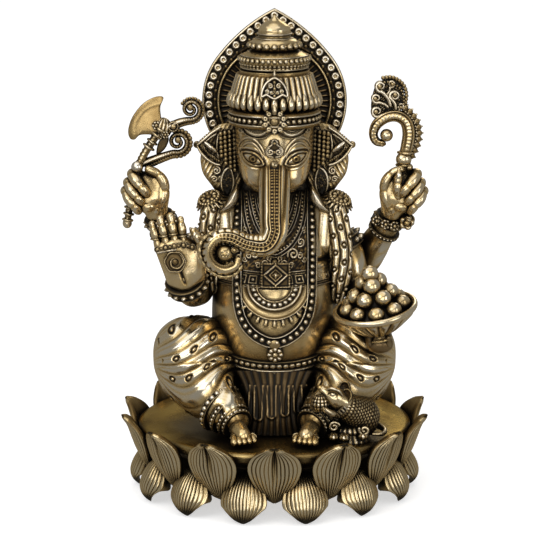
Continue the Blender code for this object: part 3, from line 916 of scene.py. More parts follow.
@dataclass(frozen=True)
class BrassFinish:
    """Brass darkened all over and rubbed back: patina stays in chased lines and corners, with painted shade
    in corners.
    """

    name: str
    slot: str
    polished: tuple[float, float, float]
    warm: tuple[float, float, float]
    worn_and_shaded: tuple[float, float, float]
    patina: tuple[float, float, float]
    roughness: float
    dark_roughness: float
    reach: float
    corners: float
    mottling: float
    edge: tuple[float, float, float]

    def make(self) -> bpy.types.Material:
        """The material: chased patina, patina and painted shade in corners, and cloudy wear drive the colour.
        """
        graph = Graph(self.name)
        place = graph.node("ShaderNodeTexCoord", {}, {}, "Object")
        clouds = graph.node(
            "ShaderNodeTexNoise", {}, {"Vector": place, "Scale": 95.0, "Detail": 4.0, "Roughness": 0.6})
        grain = graph.node(
            "ShaderNodeTexNoise", {}, {"Vector": place, "Scale": 1300.0, "Detail": 3.0, "Roughness": 0.7})
        chased = graph.node("ShaderNodeAttribute", {"attribute_name": "patina"}, {}, "Fac")
        # Painted shade: ambient occlusion darkens corners and the places where parts meet, on top of the
        # chased patina.
        open_sky = graph.node(
            "ShaderNodeAmbientOcclusion", {"samples": 5}, {"Distance": self.reach * MM}, "AO")
        corner = ((0.93 - open_sky) * self.corners).within()
        tarnish_and_shade = (chased.or_more(corner) + corner * chased * 0.5 + (clouds - 0.5) * self.mottling).within()
        # The darker stops show both chased patina and painted shade.
        colour = graph.node("ShaderNodeValToRGB", {"stops": [
            (0.0, self.polished),
            (0.15, self.warm),
            (0.38, self.worn_and_shaded),
            (0.70, self.patina),
        ]}, {"Fac": tarnish_and_shade})
        low = self.roughness
        rough = (low + tarnish_and_shade * (self.dark_roughness - low) + (grain - 0.5) * 0.10
                 + (clouds - 0.5) * 0.12).within()
        bump = graph.node("ShaderNodeBump", {}, {"Height": grain + clouds * 2.0, "Strength": 0.12,
            "Distance": 0.0004}, "Normal")
        return graph.surface({
            "Base Color": colour,
            "Metallic": (1.0 - tarnish_and_shade * 0.45).within(),
            "Roughness": rough,
            "Specular Tint": (*self.edge, 1.0),
            "Normal": bump,
        })


@dataclass(frozen=True)
class SteelFinish:
    """Zinc-plated steel of standard fasteners, with turned lines."""

    name: str
    slot: str
    colour: tuple[float, float, float]

    def make(self) -> bpy.types.Material:
        """The material: fine noise drawn out along the threads over plain plated steel."""
        graph = Graph(self.name)
        place = graph.node("ShaderNodeTexCoord", {}, {}, "Object")
        stretched = graph.node(
            "ShaderNodeMapping", {}, {"Vector": place, "Scale": (1.0, 1.0, 9.0)})
        lines = graph.node("ShaderNodeTexNoise", {}, {"Vector": stretched, "Scale": 900.0, "Detail": 3.0})
        colour = graph.node("ShaderNodeValToRGB", {"stops": [
            (0.3, tuple(0.62 * part for part in self.colour)),
            (0.7, self.colour),
        ]}, {"Fac": lines})
        return graph.surface({"Base Color": colour, "Metallic": 1.0, "Roughness": 0.26 + lines * 0.22})


class Metal(Enum):
    """The finishes that the statue's pieces are dressed in."""

    CHASED = BrassFinish("antique_brass", "antique_brass", (0.92, 0.84, 0.69), (0.76, 0.58, 0.30),
                         (0.18, 0.115, 0.042), (0.005, 0.004, 0.003), 0.18, 0.50, 7.0, 2.2, 0.26,
                         (1.0, 0.92, 0.78))
    SMOOTH = BrassFinish("polished_brass", "antique_brass", (0.92, 0.82, 0.62), (0.80, 0.58, 0.26),
                         (0.24, 0.145, 0.046), (0.006, 0.004, 0.003), 0.14, 0.45, 9.0, 1.9, 0.26,
                         (1.0, 0.90, 0.72))
    # A darker copy of the same brass, as painted shade for pieces that lie in shadow: the pleats between the
    # shins, the nape, the halo plate and the hand under the bowl.
    SHADED = BrassFinish("painted_shade_brass", "antique_brass", (0.44, 0.33, 0.18), (0.30, 0.20, 0.09),
                         (0.06, 0.038, 0.016), (0.004, 0.003, 0.002), 0.24, 0.50, 7.0, 1.7, 0.30,
                         (1.0, 0.90, 0.75))
    PETAL = BrassFinish("petal_brass", "petal_brass", (0.84, 0.70, 0.44), (0.74, 0.54, 0.25),
                        (0.22, 0.14, 0.050), (0.006, 0.005, 0.004), 0.20, 0.50, 9.0, 2.0, 0.22,
                        (0.95, 0.80, 0.55))
    # The deck's wide occlusion reach paints the shade of the figure and the petals onto the deck, besides its
    # patina.
    DECK = BrassFinish("deck_brass", "deck_brass", (0.60, 0.44, 0.18), (0.44, 0.30, 0.11),
                       (0.11, 0.065, 0.022), (0.008, 0.005, 0.003), 0.16, 0.45, 20.0, 2.2, 0.50,
                       (0.90, 0.72, 0.42))
    STEEL = SteelFinish("zinc_steel", "zinc_steel", (0.55, 0.55, 0.56))


class SubAssembly:
    """What every sub-assembly shares: it turns shells into finished pieces of the statue's one body."""

    materials: dict[Metal, bpy.types.Material] = {}

    def piece(self, name: str, shells: Union[Shell, Sequence[Shell]], metal: Metal,
              stands_for: Sequence[str] = ()) -> bpy.types.Object:
        """Makes one piece of the statue.

        Args:
            name: the piece's name.
            shells: its surface, in millimetres.
            metal: its finish.
            stands_for: the CAD nodes that it takes the place of.

        Returns:
            The new object, at the origin.
        """
        shell = shells if isinstance(shells, Shell) else join(shells)
        quads, triangles = len(shell.quads), len(shell.triangles)
        mesh = bpy.data.meshes.new(name)
        mesh.vertices.add(len(shell.points))
        mesh.vertices.foreach_set("co", (shell.points * MM).astype(np.float32).ravel())
        corners = np.concatenate([shell.quads.ravel(), shell.triangles.ravel()]).astype(np.int32)
        mesh.loops.add(len(corners))
        mesh.loops.foreach_set("vertex_index", corners)
        mesh.polygons.add(quads + triangles)
        starts = np.concatenate([np.arange(quads) * 4, quads * 4 + np.arange(triangles) * 3])
        mesh.polygons.foreach_set("loop_start", starts.astype(np.int32))
        mesh.update(calc_edges=True)
        mesh.shade_smooth()
        # The per-point values hold chased patina and painted shade; the material reads them by this name.
        layer = mesh.attributes.new("patina", "FLOAT", "POINT")
        layer.data.foreach_set("value", shell.patina.astype(np.float32))
        made = bpy.data.objects.new(name, mesh)
        bpy.context.scene.collection.objects.link(made)
        if metal not in self.materials:
            self.materials[metal] = metal.value.make()
        mesh.materials.append(self.materials[metal])
        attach(made, "root")
        if stands_for:
            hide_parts(*stands_for)
        LOG.info("%s: %d faces", name, quads + triangles)
        return made


# Lotus base ---------------------------------------------------------------------------------------


@dataclass
class PetalShape:
    """One row's petal. Its stations run from root to tip along the middle of the outer face."""

    name: str
    profile: tuple[tuple[float, float], ...]
    half_widths: tuple[float, ...]
    cupping: tuple[float, ...]
    thickness: tuple[float, ...]
    first_turn: float
    grooves: int
    groove_depth: float
    fold: float

    def shell(self, turn: float, seed: int) -> Shell:
        """The petal at an angle round the base.

        Across, the outer face is a parabola that drops by the cupping at both edges, and its grooves
        are bells at even shares of the half width, so they meet at root and tip as the petal narrows.
        A fold along the middle parts it into two full halves towards the tip.

        Args:
            turn: degrees round Z from -Y.
            seed: sets the small unevenness that tells one petal from the next.

        Returns:
            The closed shell.
        """
        rows, outer, inner = 46, 111, 22
        stations = [(0.0, -radius, z, half, cup, thick) for (radius, z), half, cup,
                    thick in zip(self.profile, self.half_widths, self.cupping, self.thickness)]
        line = spline(stations, rows)
        middle = line[:, :3]
        half, cup, thick = (np.maximum(line[:, column], 0.12)[:, None] for column in (3, 4, 5))
        along = unit(np.gradient(middle, axis=0))
        outward = unit(np.cross(along, [1.0, 0.0, 0.0]))
        outward = np.where(outward[:, 1:2] > 0, -outward, outward)
        share = np.linspace(0, 1, rows)[:, None]
        w = np.linspace(-1, 1, outer)[None]
        wander = 0.012 * np.sin(9.0 * share + 1.7 * seed) + 0.006 * np.sin(23.0 * share + seed)
        pitch = 2.0 / self.grooves
        lines = bell(nearest(w + wander * (1 - w**2) - pitch / 2, pitch), 0.21 * pitch)
        strength = self.groove_depth * (0.75 + 0.25 * np.sin(5.0 * w + 2.1 * seed))
        fade = step(0.0, 0.08, share) * (1 - step(0.90, 0.985, share)) * (1 - step(0.93, 0.99, np.abs(w)))
        rim = 0.25 * bell(np.abs(w) - 0.97, 0.035)
        rise = rim - lines * strength * fade
        folded = (self.fold * step(0.2, 0.85, share) * (np.abs(w) * (1.2 - np.abs(w)) * 2.4
            - 0.9 * bell(w, 0.09)))
        rise = rise + folded * (1 - step(0.94, 1.0, share))
        top = middle[:, None] + np.stack([half * w, 0 * w * half, 0 * w * half], axis=-1)
        top = top + outward[:, None] * (rise - cup * w**2)[..., None]
        v = np.linspace(0.9, -0.9, inner)[None]
        under = middle[:, None] + np.stack([half * v, 0 * v * half, 0 * v * half], axis=-1)
        ripple = 0.12 * np.sin(7.0 * v + seed) * step(0.1, 0.5, share)
        under = under - outward[:, None] * (cup * v**2 + thick + ripple)[..., None]
        # Patina in the grooves, plus painted shade at the root where the petal meets the drum; the underside
        # gets painted shade, darker towards the root.
        tarnish_and_shade = recess(rise, reach=2, depth=0.20, ground=0.08) + 0.5 * (1 - step(0.0, 0.45, share)) ** 2
        patina = np.hstack([np.clip(tarnish_and_shade, 0, 1), np.full((rows, inner), 0.3) + 0.3 * (1 - share)])
        points = np.concatenate([top, under], axis=1)
        points[..., 2] = np.maximum(points[..., 2], 0.0)
        return grid(turned_about(points, "z", turn), patina, finest=FINE_CHASING)


@dataclass
class LotusBase(SubAssembly):
    """The hollow drum with its deck, two rows of petals and the fixing underneath."""

    count: int = 14
    deck_z: float = 38.0
    deck_radius: float = 70.0
    drum_radius: float = 60.0
    drum_bottom: float = 12.0
    wall: float = 4.0
    bore: float = 3.4
    upper: PetalShape = None
    lower: PetalShape = None

    def __post_init__(self) -> None:
        """Sets both rows' shapes."""
        self.upper = PetalShape(name="upper_petal", profile=((63.0, 8.6), (67.4, 11.6), (71.6, 17.2),
            (74.8, 23.6), (76.9, 30.0), (78.6, 35.6), (80.8, 40.4), (83.4, 43.4)),
            half_widths=(0.6, 4.2, 9.0, 12.5, 13.8, 11.8, 6.2, 0.4),
            cupping=(0.1, 0.6, 1.9, 3.2, 3.8, 3.2, 1.5, 0.1),
            thickness=(1.0, 3.0, 3.4, 3.0, 2.4, 2.0, 1.6, 0.8), first_turn=0.0, grooves=13,
            groove_depth=0.50, fold=1.5,)
        self.lower = PetalShape(name="lower_petal", profile=((61.0, 25), (66.0, 24.0), (71.6, 20.6),
            (75.8, 15.0), (77.8, 9.4), (77.4, 5.2), (75.4, 2.0), (72.8, 0.0)),
            half_widths=(3.2, 7.0, 10.4, 12.2, 11.6, 9.0, 5.0, 0.5),
            cupping=(0.5, 2.2, 4.6, 6.2, 5.8, 3.8, 1.4, 0.1),
            thickness=(1.6, 3.0, 5.0, 6.6, 6.0, 4.4, 2.4, 0.8), first_turn=180.0 / self.count, grooves=13,
            groove_depth=0.42, fold=0.0,)

    def build(self) -> None:
        """Makes the drum, the petals and the fasteners."""
        self.drum()
        for shape in (self.upper, self.lower):
            for index in range(self.count):
                turn = shape.first_turn + 360.0 * index / self.count
                node = f"{shape.name}_{index + 1:02d}"
                self.piece(f"{node}_chased", shape.shell(turn, index), Metal.PETAL, [node])
        self.fasteners()

    def drum(self) -> None:
        """The drum, turned from its section, with a faintly uneven deck."""
        deck, rim, radius = self.deck_z, self.deck_radius, self.drum_radius
        low, wall = self.drum_bottom, self.wall
        section = [(self.bore, deck), (rim - 10, deck), (rim + 1, deck - 1.0), (rim + 3.0, deck - 2.4),
                   (rim + 1.6, deck - 6), (radius, deck - 12), (radius, low), (radius - wall, low),
                   (radius - wall, deck - 12), (radius - 2 * wall, deck - wall), (self.bore, deck - wall),
                   (self.bore, deck)]

        def uneven(distance: Array, turn: Array) -> Array:
            """Low waves of the hand-finished deck."""
            return 0.10 * np.sin(0.23 * distance + 2 * np.sin(3 * turn)) * np.sin(5 * turn + 0.11 * distance)

        self.piece("lotus_drum_turned", lathe(section, 150, 120, uneven, closed=True, ground=0.1), Metal.DECK,
                   ["lotus_drum"])

    def fasteners(self) -> None:
        """The threaded stud, the washer and the chamfered nut."""
        low, high = self.deck_z - self.wall - 8, self.deck_z + 16
        stud = lathe(
            [(0.02, low), (2.4, low), (2.95, low + 0.6), (2.95, high - 0.6), (2.4, high), (0.02, high)],
            230, 36, lambda distance, turn: -0.32 * np.abs(nearest(distance - turn / TURN, 1.0)) * 2,
            reach=1, depth=0.5, finest=THREAD_CELL)
        self.piece("base_stud_threaded", stud, Metal.STEEL, ["base_stud"])
        top = self.deck_z - self.wall - 0.4
        washer = lathe([(3.3, top), (7.8, top), (8.0, top - 0.2), (8.0, top - 1.3), (7.8, top - 1.5),
                        (3.3, top - 1.5), (3.3, top)], 40, 64, closed=True)
        self.piece("base_washer_plain", washer, Metal.STEEL, ["base_washer"])
        self.piece("base_nut_hexagon", self.nut(top - 1.9, 4.8), Metal.STEEL, ["base_nut"])

    def nut(self, top: float, height: float) -> Shell:
        """A hexagon nut: its radius is the flat's distance over the cosine of the turn from its middle."""
        turn = np.linspace(0, TURN, 96, endpoint=False)
        hexagon = 4.85 / np.cos((turn % (TURN / 6)) - TURN / 12)
        levels = [
            (3.3, 0.0), (4.4, 0.0), (hexagon - 0.5, 0.0), (hexagon, 0.5), (hexagon, height - 0.5),
            (hexagon - 0.5, height), (4.4, height), (3.3, height),
        ]
        rows = [
            np.stack([radius * np.cos(turn), radius * np.sin(turn), 0 * turn + top - drop], axis=-1)
            for radius, drop in levels
        ]
        return grid(np.array(rows), 0.2, loop=True)


# Torso and what it wears --------------------------------------------------------------------------


@dataclass
class Torso(SubAssembly):
    """The bare chest and belly, with garland, collars, belt, pendant and hip cloth."""

    levels: tuple[tuple[float, float, float, float, float], ...] = ((38.35, 0, 10, 30, 28),
        (46, 0, 9, 34, 32), (62, 0, 4, 34, 33), (78, 0, 0, 33, 35), (97, 0, -1, 33, 36),
        (114, 0, 1, 32, 32), (130, 0, 5, 31, 25), (144, 0, 9, 34, 18), (154, 0, 11, 32, 14),
        (160, 0, 11, 20, 11))
    garland_half: float = 3.0
    garland_line: tuple[tuple[float, float], ...] = ((19.5, 157.4), (19.2, 140), (18.7, 120), (18.5, 112),
        (18.0, 105.7), (15.9, 98.8), (11.8, 93.2), (5.8, 89.3), (0, 87.9))
    belt_z: float = 119.0
    belt_half: float = 4.8
    crescent_z: float = 116.0

    def __post_init__(self) -> None:
        """Lays out the body that the ornaments follow."""
        self.form = StackedForm(self.levels)

    def build(self) -> None:
        """Makes the skin and the ornaments."""
        self.piece("torso_skin", self.skin(), Metal.SMOOTH, ["torso"])
        self.piece("garland", [*self.garland(), *self.garland_end()], Metal.CHASED)
        self.piece("collars", self.collars(), Metal.CHASED)
        self.piece("chest_scrolls", self.chest_scrolls(), Metal.CHASED)
        self.piece("belt", [self.belt(), self.buckle()], Metal.CHASED)
        self.piece("crescent_pendant", [self.crescent(), *self.fringe()], Metal.CHASED)
        self.piece("hip_band", self.hip_band(), Metal.CHASED)
        self.piece("back_ornament", self.back_ornament(), Metal.CHASED)

    def skin(self) -> Shell:
        """The body itself.

        Breasts and a belly fold are wide bells on the front; inside the garland the chest is a crowded
        scroll ground; the hips and the back below the belt are pleated cloth, whose folds are sines of
        the turn that bend sideways as they fall.
        """
        z = np.linspace(self.levels[0][0], self.levels[-1][0], 300)[:, None]
        turn = np.linspace(0, TURN, 420, endpoint=False)[None]
        points = self.form.around(turn, z)
        x, side = points[..., 0], -np.sin(turn) + 0 * z
        front = step(0.05, 0.5, side)
        chest = step(114, 122, z) * (1 - step(150, 158, z)) * front
        breasts = 1.6 * bell(np.hypot((np.abs(x) - 23.5) / 8.5, (z - 133) / 17), 1.0) * front
        inside = step(0, 2.5, 17.5 - np.abs(x)) * chest
        ground = 0.34 * whorls(x, z, 3.3) * inside
        navel = -0.9 * bell(z - 126.5, 1.6) * chest * step(15, 19, np.abs(x))
        cloth = (1 - step(70, 76, z)) + step(-0.2, 0.35, -side) * (1 - step(104, 112, z))
        folds = (0.9 * np.abs(np.sin(16 * turn + 0.05 * (z - 60) * np.sin(2 * turn))) ** 0.6
                 * np.clip(cloth, 0, 1))
        spine = -1.6 * bell(x / 4.0, 1.0) * step(0.2, 0.7, -side) * step(112, 124, z)
        blades = 1.3 * bell(np.hypot((np.abs(x) - 15) / 8, (z - 140) / 10), 1.0) * step(0.2, 0.7, -side)
        height = breasts + ground + navel + folds + spine + blades
        # Patina in the chased scroll ground; painted shade on the lower belly where the legs close in, and at
        # the front's sides next to the arms.
        dark = 0.42 * inside + 0.30 * (1 - step(74, 92, z)) + 0.22 * step(0.80, 0.97, np.abs(x) / 33) * front
        patina = np.clip(recess(height, 5, 0.32, 0.12) + dark, 0, 1)
        return grid(points + grid_normals(points) * height[..., None], patina)

    def garland(self) -> list[Shell]:
        """The closed strap over both shoulders: two rims, and a row of beads in the channel between."""
        right = np.array(self.garland_line)[::-1] * [-1, 1]
        front, front_normals = self.form.laid([*right[1:][::-1],
            *self.garland_line[::-1]][: 2 * len(right) - 1], 620, 0.9)
        behind = [(19.5, 156.8), (17.5, 148), (12.5, 138), (6.5, 131), (0, 129), (-6.5, 131), (-12.5, 138),
                  (-17.5, 148), (-19.5, 156.8)]
        back, back_normals = self.form.laid(behind, 360, 0.7, True)
        share = np.linspace(0.08, 0.92, 26)[:, None]
        lift = np.sin(math.pi * share)
        over = front[-1] * (1 - share) + back[0] * share + [0, 0, 3.0] * lift
        over_normals = unit(front_normals[-1] * (1 - share) + back_normals[0] * share + [0, 0, 2.5] * lift)
        again = (over * [-1, 1, 1])[::-1]
        path = np.vstack([front, over, back, again])
        normals = np.vstack([front_normals, over_normals, back_normals, (over_normals * [-1, 1, 1])[::-1]])
        half = self.garland_half

        def height(s: Array, w: Array) -> Array:
            """Rims of 1.1 mm, and a floor."""
            return 0.35 + 1.05 * rims(w, 0.88, 0.11) + 0 * s

        run = lengths(front)
        pick = [int(np.argmin(np.abs(run - place))) for place in np.arange(1.9, run[-1] - 1.0, 3.75)]
        rings = beads(front[pick] + 0.9 * front_normals[pick], 1.42, 0.02, 0.85, front_normals[pick])
        return [band(path, normals, half, height, 26, 1.6, True, depth=0.32, ground=0.6), rings]

    def garland_end(self) -> list[Shell]:
        """The clasp at the garland's lowest point, a heart, and a small flower that hangs from it."""
        place, normal = self.form.front(np.array(0.1), np.array(86.6))
        heart = disc(place + 1.5 * normal, normal, 3.3, lambda r, t: 1.3 * (1 - r**2) ** 0.5, 14, 40,
                     lambda r, t: 0.72 + 0.28 * np.abs(np.cos(t / 2 - 0.785)))
        place, normal = self.form.front(np.array(0.3), np.array(81.6))
        return [heart, disc(place + 2.2 * normal, normal, 4.3, flower(8, 0.34, 1.1), 22, 80, scalloped(8),
                            2.5)]

    def collars(self) -> list[Shell]:
        """Necklaces as narrow double-lined straps on both sides of the trunk, and small spacer bars."""
        made = []
        for places, half in (
            ([(13.5, 160), (13.0, 156), (11.2, 148), (8.0, 141), (3.6, 137.2), (0, 136)], 1.0),
            ([(16.6, 159.5), (15.9, 150), (14.0, 142), (9.8, 135), (4.0, 130.6), (0, 129.4)], 1.15),
            ([(9.6, 158), (8.6, 152), (6.0, 146), (2.8, 143), (0, 142)], 0.8),
        ):
            whole = [*places, *[(-x, z) for x, z in places[-2::-1]]]
            path, normals = self.form.laid(whole, 260, 0.7)
            made.append(band(path, normals, half, lambda s, w: 1.0 * rims(w, 0.72, 0.26), 10, 1.2,
                             depth=0.35, ground=0.25))
        path, normals = self.form.laid([(14.6, 158), (14.0, 148), (11.8, 140.5), (8.6, 135.4), (4, 132.6),
            (0, 131.6)], 20, 1.0)
        made += both([beads(path[:-1], 0.75, 0.1, 1.0, normals[:-1])])
        path, normals = self.form.laid([(11.4, 158), (10, 149), (6.6, 142.5), (3, 139.6), (0, 138.8)], 16,
            0.9)
        return made + both([beads(path[:-1], 0.7, 0.1, 1.0, normals[:-1])])

    def chest_scrolls(self) -> list[Shell]:
        """Paired scrolls below the collars, and a drop between them."""
        made = []
        for centre, start, first, turns, thick in (((4.6, 125.9), 2.6, 150, 1.35, 0.55),
                ((9.6, 130.2), 2.9, 200, -1.4, 0.6), ((13.4, 135.6), 2.2, 240, 1.3, 0.5),
                ((8.4, 125.0), 1.5, 30, 1.2, 0.45), ((13.0, 129.3), 1.5, 100, -1.2, 0.45),
                ((15.3, 141.5), 1.6, 260, 1.2, 0.45), ((2.6, 128.4), 1.2, 60, -1.1, 0.4),
                ((15.4, 127.4), 1.3, 190, 1.1, 0.4)):
            places = curl(centre, start, 0.5, first, turns)
            path, normals = self.form.laid(places, 60, 0.75)
            made.append(tube(path, np.linspace(thick, 1.3 * thick, 60), 8, normals, 1.1, patina=0.08))
            path, normals = self.form.laid(places[-2:], 2, 0.9)
            made.append(beads(path[-1:], 1.5 * thick, 0.05))
        place, normal = self.form.front(np.array(0.2), np.array(126.4))
        drop = disc(place, normal, 2.6, lambda r, t: 1.9 * (1 - r**2) ** 0.5, 14, 32,
                    lambda r, t: 0.62 + 0.38 * np.clip(-np.sin(t), 0, 1), squeeze=1.5)
        return both(made) + [drop]

    def belt(self) -> Shell:
        """The belt right round the body: double rims and square-framed studs."""
        turn = np.linspace(0, TURN, 760, endpoint=False)
        z = 0 * turn + self.belt_z + 0.6 * np.sin(turn)
        path = self.form.around(turn, z)
        half = self.belt_half

        def height(s: Array, w: Array) -> Array:
            """Outer and inner rims, then frames and studs."""
            return (0.5 + 0.9 * rims(w, 0.90, 0.07) + 0.5 * rims(w, 0.66, 0.05)
                    + 0.8 * squares(s, w * half, 6.1, 2.0) * (np.abs(w) < 0.58))

        return band(path, self.form.normal(turn, z), half, height, 34, 1.5, True, depth=0.32, ground=0.5)

    def buckle(self) -> Shell:
        """The oblong buckle: a beaded frame round a stepped diamond with a pyramid in it."""
        x, z = np.meshgrid(np.linspace(-6.7, 7.8, 76), np.linspace(114.2, 125.7, 60))
        cx, cz = x - 0.55, z - 119.9
        frame_edge = np.maximum(np.abs(cx) / 7.25, np.abs(cz) / 5.75)
        diamond = np.abs(cx) / 5.6 + np.abs(cz) / 4.6
        inner = np.abs(cx) / 2.9 + np.abs(cz) / 2.5
        notch = 0.28 * (np.cos(TURN * cx / 1.25) + np.cos(TURN * cz / 1.25)) * (frame_edge > 0.88)
        height = 2.7 + 0.8 * bell(frame_edge - 0.93, 0.07) + notch + 1.1 * bell(diamond - 1.0, 0.13)
        height += 1.9 * np.clip(1 - inner, 0, 1) + 0.7 * bell(inner - 1.05, 0.12)
        return sheet_patch(self.form.front, x, z, height, 1.0, 3, 0.45, 0.5)

    def crescent(self) -> Shell:
        """The half-moon under the belt.

        In polar steps from the middle of its top edge: a domed moon, a channel of beads, a bright rim,
        and a plain apron that ends in a thin edge.
        """
        share, turn = np.meshgrid(np.linspace(0.03, 1.42, 76), np.radians(np.linspace(182, 358, 170)),
                                  indexing="ij")
        x, z = 13.6 * share * np.cos(turn), self.crescent_z + 11.8 * share * np.sin(turn)
        x = x / (1 + 0.13 * np.clip(share - 1, 0, 1))
        step_turn = math.pi / 12
        away = np.hypot((share - 0.80) * 12.4, 12.4 * share * nearest(turn, step_turn))
        height = (1.0 + 1.9 * np.sqrt(np.clip(1 - (share / 0.62) ** 2, 0, 1))
                  * step(0.0, 0.10, self.crescent_z - 2 - z))
        height += 1.2 * bell(share - 0.975, 0.055) + dome(away, 1.15) + 0.6 * bell(share - 0.66, 0.03)
        height += 0.7 * bell(share - 1.38, 0.03) + 0.4 * step(1.08, 1.2, share)
        return sheet_patch(self.form.front, x, z, height, 0.8, 3, 0.5, 0.28)

    def fringe(self) -> list[Shell]:
        """The drops that hang from the crescent's apron, each a bar that ends in a knob."""
        turn = np.radians(np.linspace(216, 324, 9))
        x, z = 17.0 * np.cos(turn), self.crescent_z + 17.0 * np.sin(turn)
        points, normals = self.form.front(x, z)
        low, low_normals = self.form.front(1.13 * x, self.crescent_z + 19.6 * np.sin(turn))
        bars = [tube(np.linspace(top + facing, end + facing, 12), np.linspace(0.6, 1.15, 12), 10, facing,
                     1.0, patina=0.1) for top, end, facing in zip(points, low, normals)]
        return bars + [beads(low + 1.2 * low_normals, 1.25, 0.05)]

    def hip_band(self) -> list[Shell]:
        """The long beads along the bottom of the belly, between two wires."""
        path, normals = self.form.laid([(-31, 80), (-24, 76.4), (-12, 74.6), (0, 74.2), (12, 74.6),
            (24, 76.4), (31, 80)], 300, 0.6)
        strap = band(path, normals, 3.1, lambda s, w: 0.2 + 0.9 * rims(w, 0.88, 0.1) + 0.8 * dome(
            np.hypot(nearest(s, 3.4) / 1.55, w * 3.1 / 1.35), 1.0), 20, 1.4, depth=0.35, ground=0.5)
        path, normals = self.form.laid([(-30, 76), (-12, 70.8), (0, 70.4), (12, 70.8), (30, 76)], 160, 0.6)
        return [strap, tube(path, 0.8, 8, normals, 1.0, patina=0.1)]

    def back_ornament(self) -> list[Shell]:
        """The knot and hanging ends of the belt behind, and a row of beads above the hip cloth."""
        made = []
        for lean in (-1.0, 1.0):
            path, normals = self.form.laid([(lean * 1.5, 117), (lean * 4, 106), (lean * 7.5, 92),
                (lean * 9.5, 76)], 150, 0.9, True)
            made.append(band(path, normals, np.linspace(2.2, 4.4, 150),
                             lambda s, w: 0.5 + 0.8 * rims(w) + 0.45 * np.abs(np.sin(math.pi * 1.5 * w)),
                             18, 1.6, ground=0.3))
            loop_path, normals = self.form.laid([(lean * 1.5, 118), (lean * 7, 124.5), (lean * 12.5, 122),
                (lean * 11, 116), (lean * 2, 117)], 90, 1.5, True)
            made.append(tube(loop_path, 1.7, 12, normals, 1.2, lambda s, a: 0.25 * np.cos(4 * a),
                             patina=0.15))
        place, normal = self.form.back(np.array(0.0), np.array(118.5))
        made.append(disc(place + 0.8 * normal, normal, 3.8, flower(8, 0.36, 1.0), 20, 72, scalloped(8), 2.5))
        turn = np.radians(np.linspace(14, 166, 40))
        line = self.form.around(turn, 0 * turn + 110.6)
        made.append(beads(line + 0.7 * self.form.normal(turn, 0 * turn + 110.6), 1.3, 0.1))
        return made


# Legs and hip cloth -------------------------------------------------------------------------------


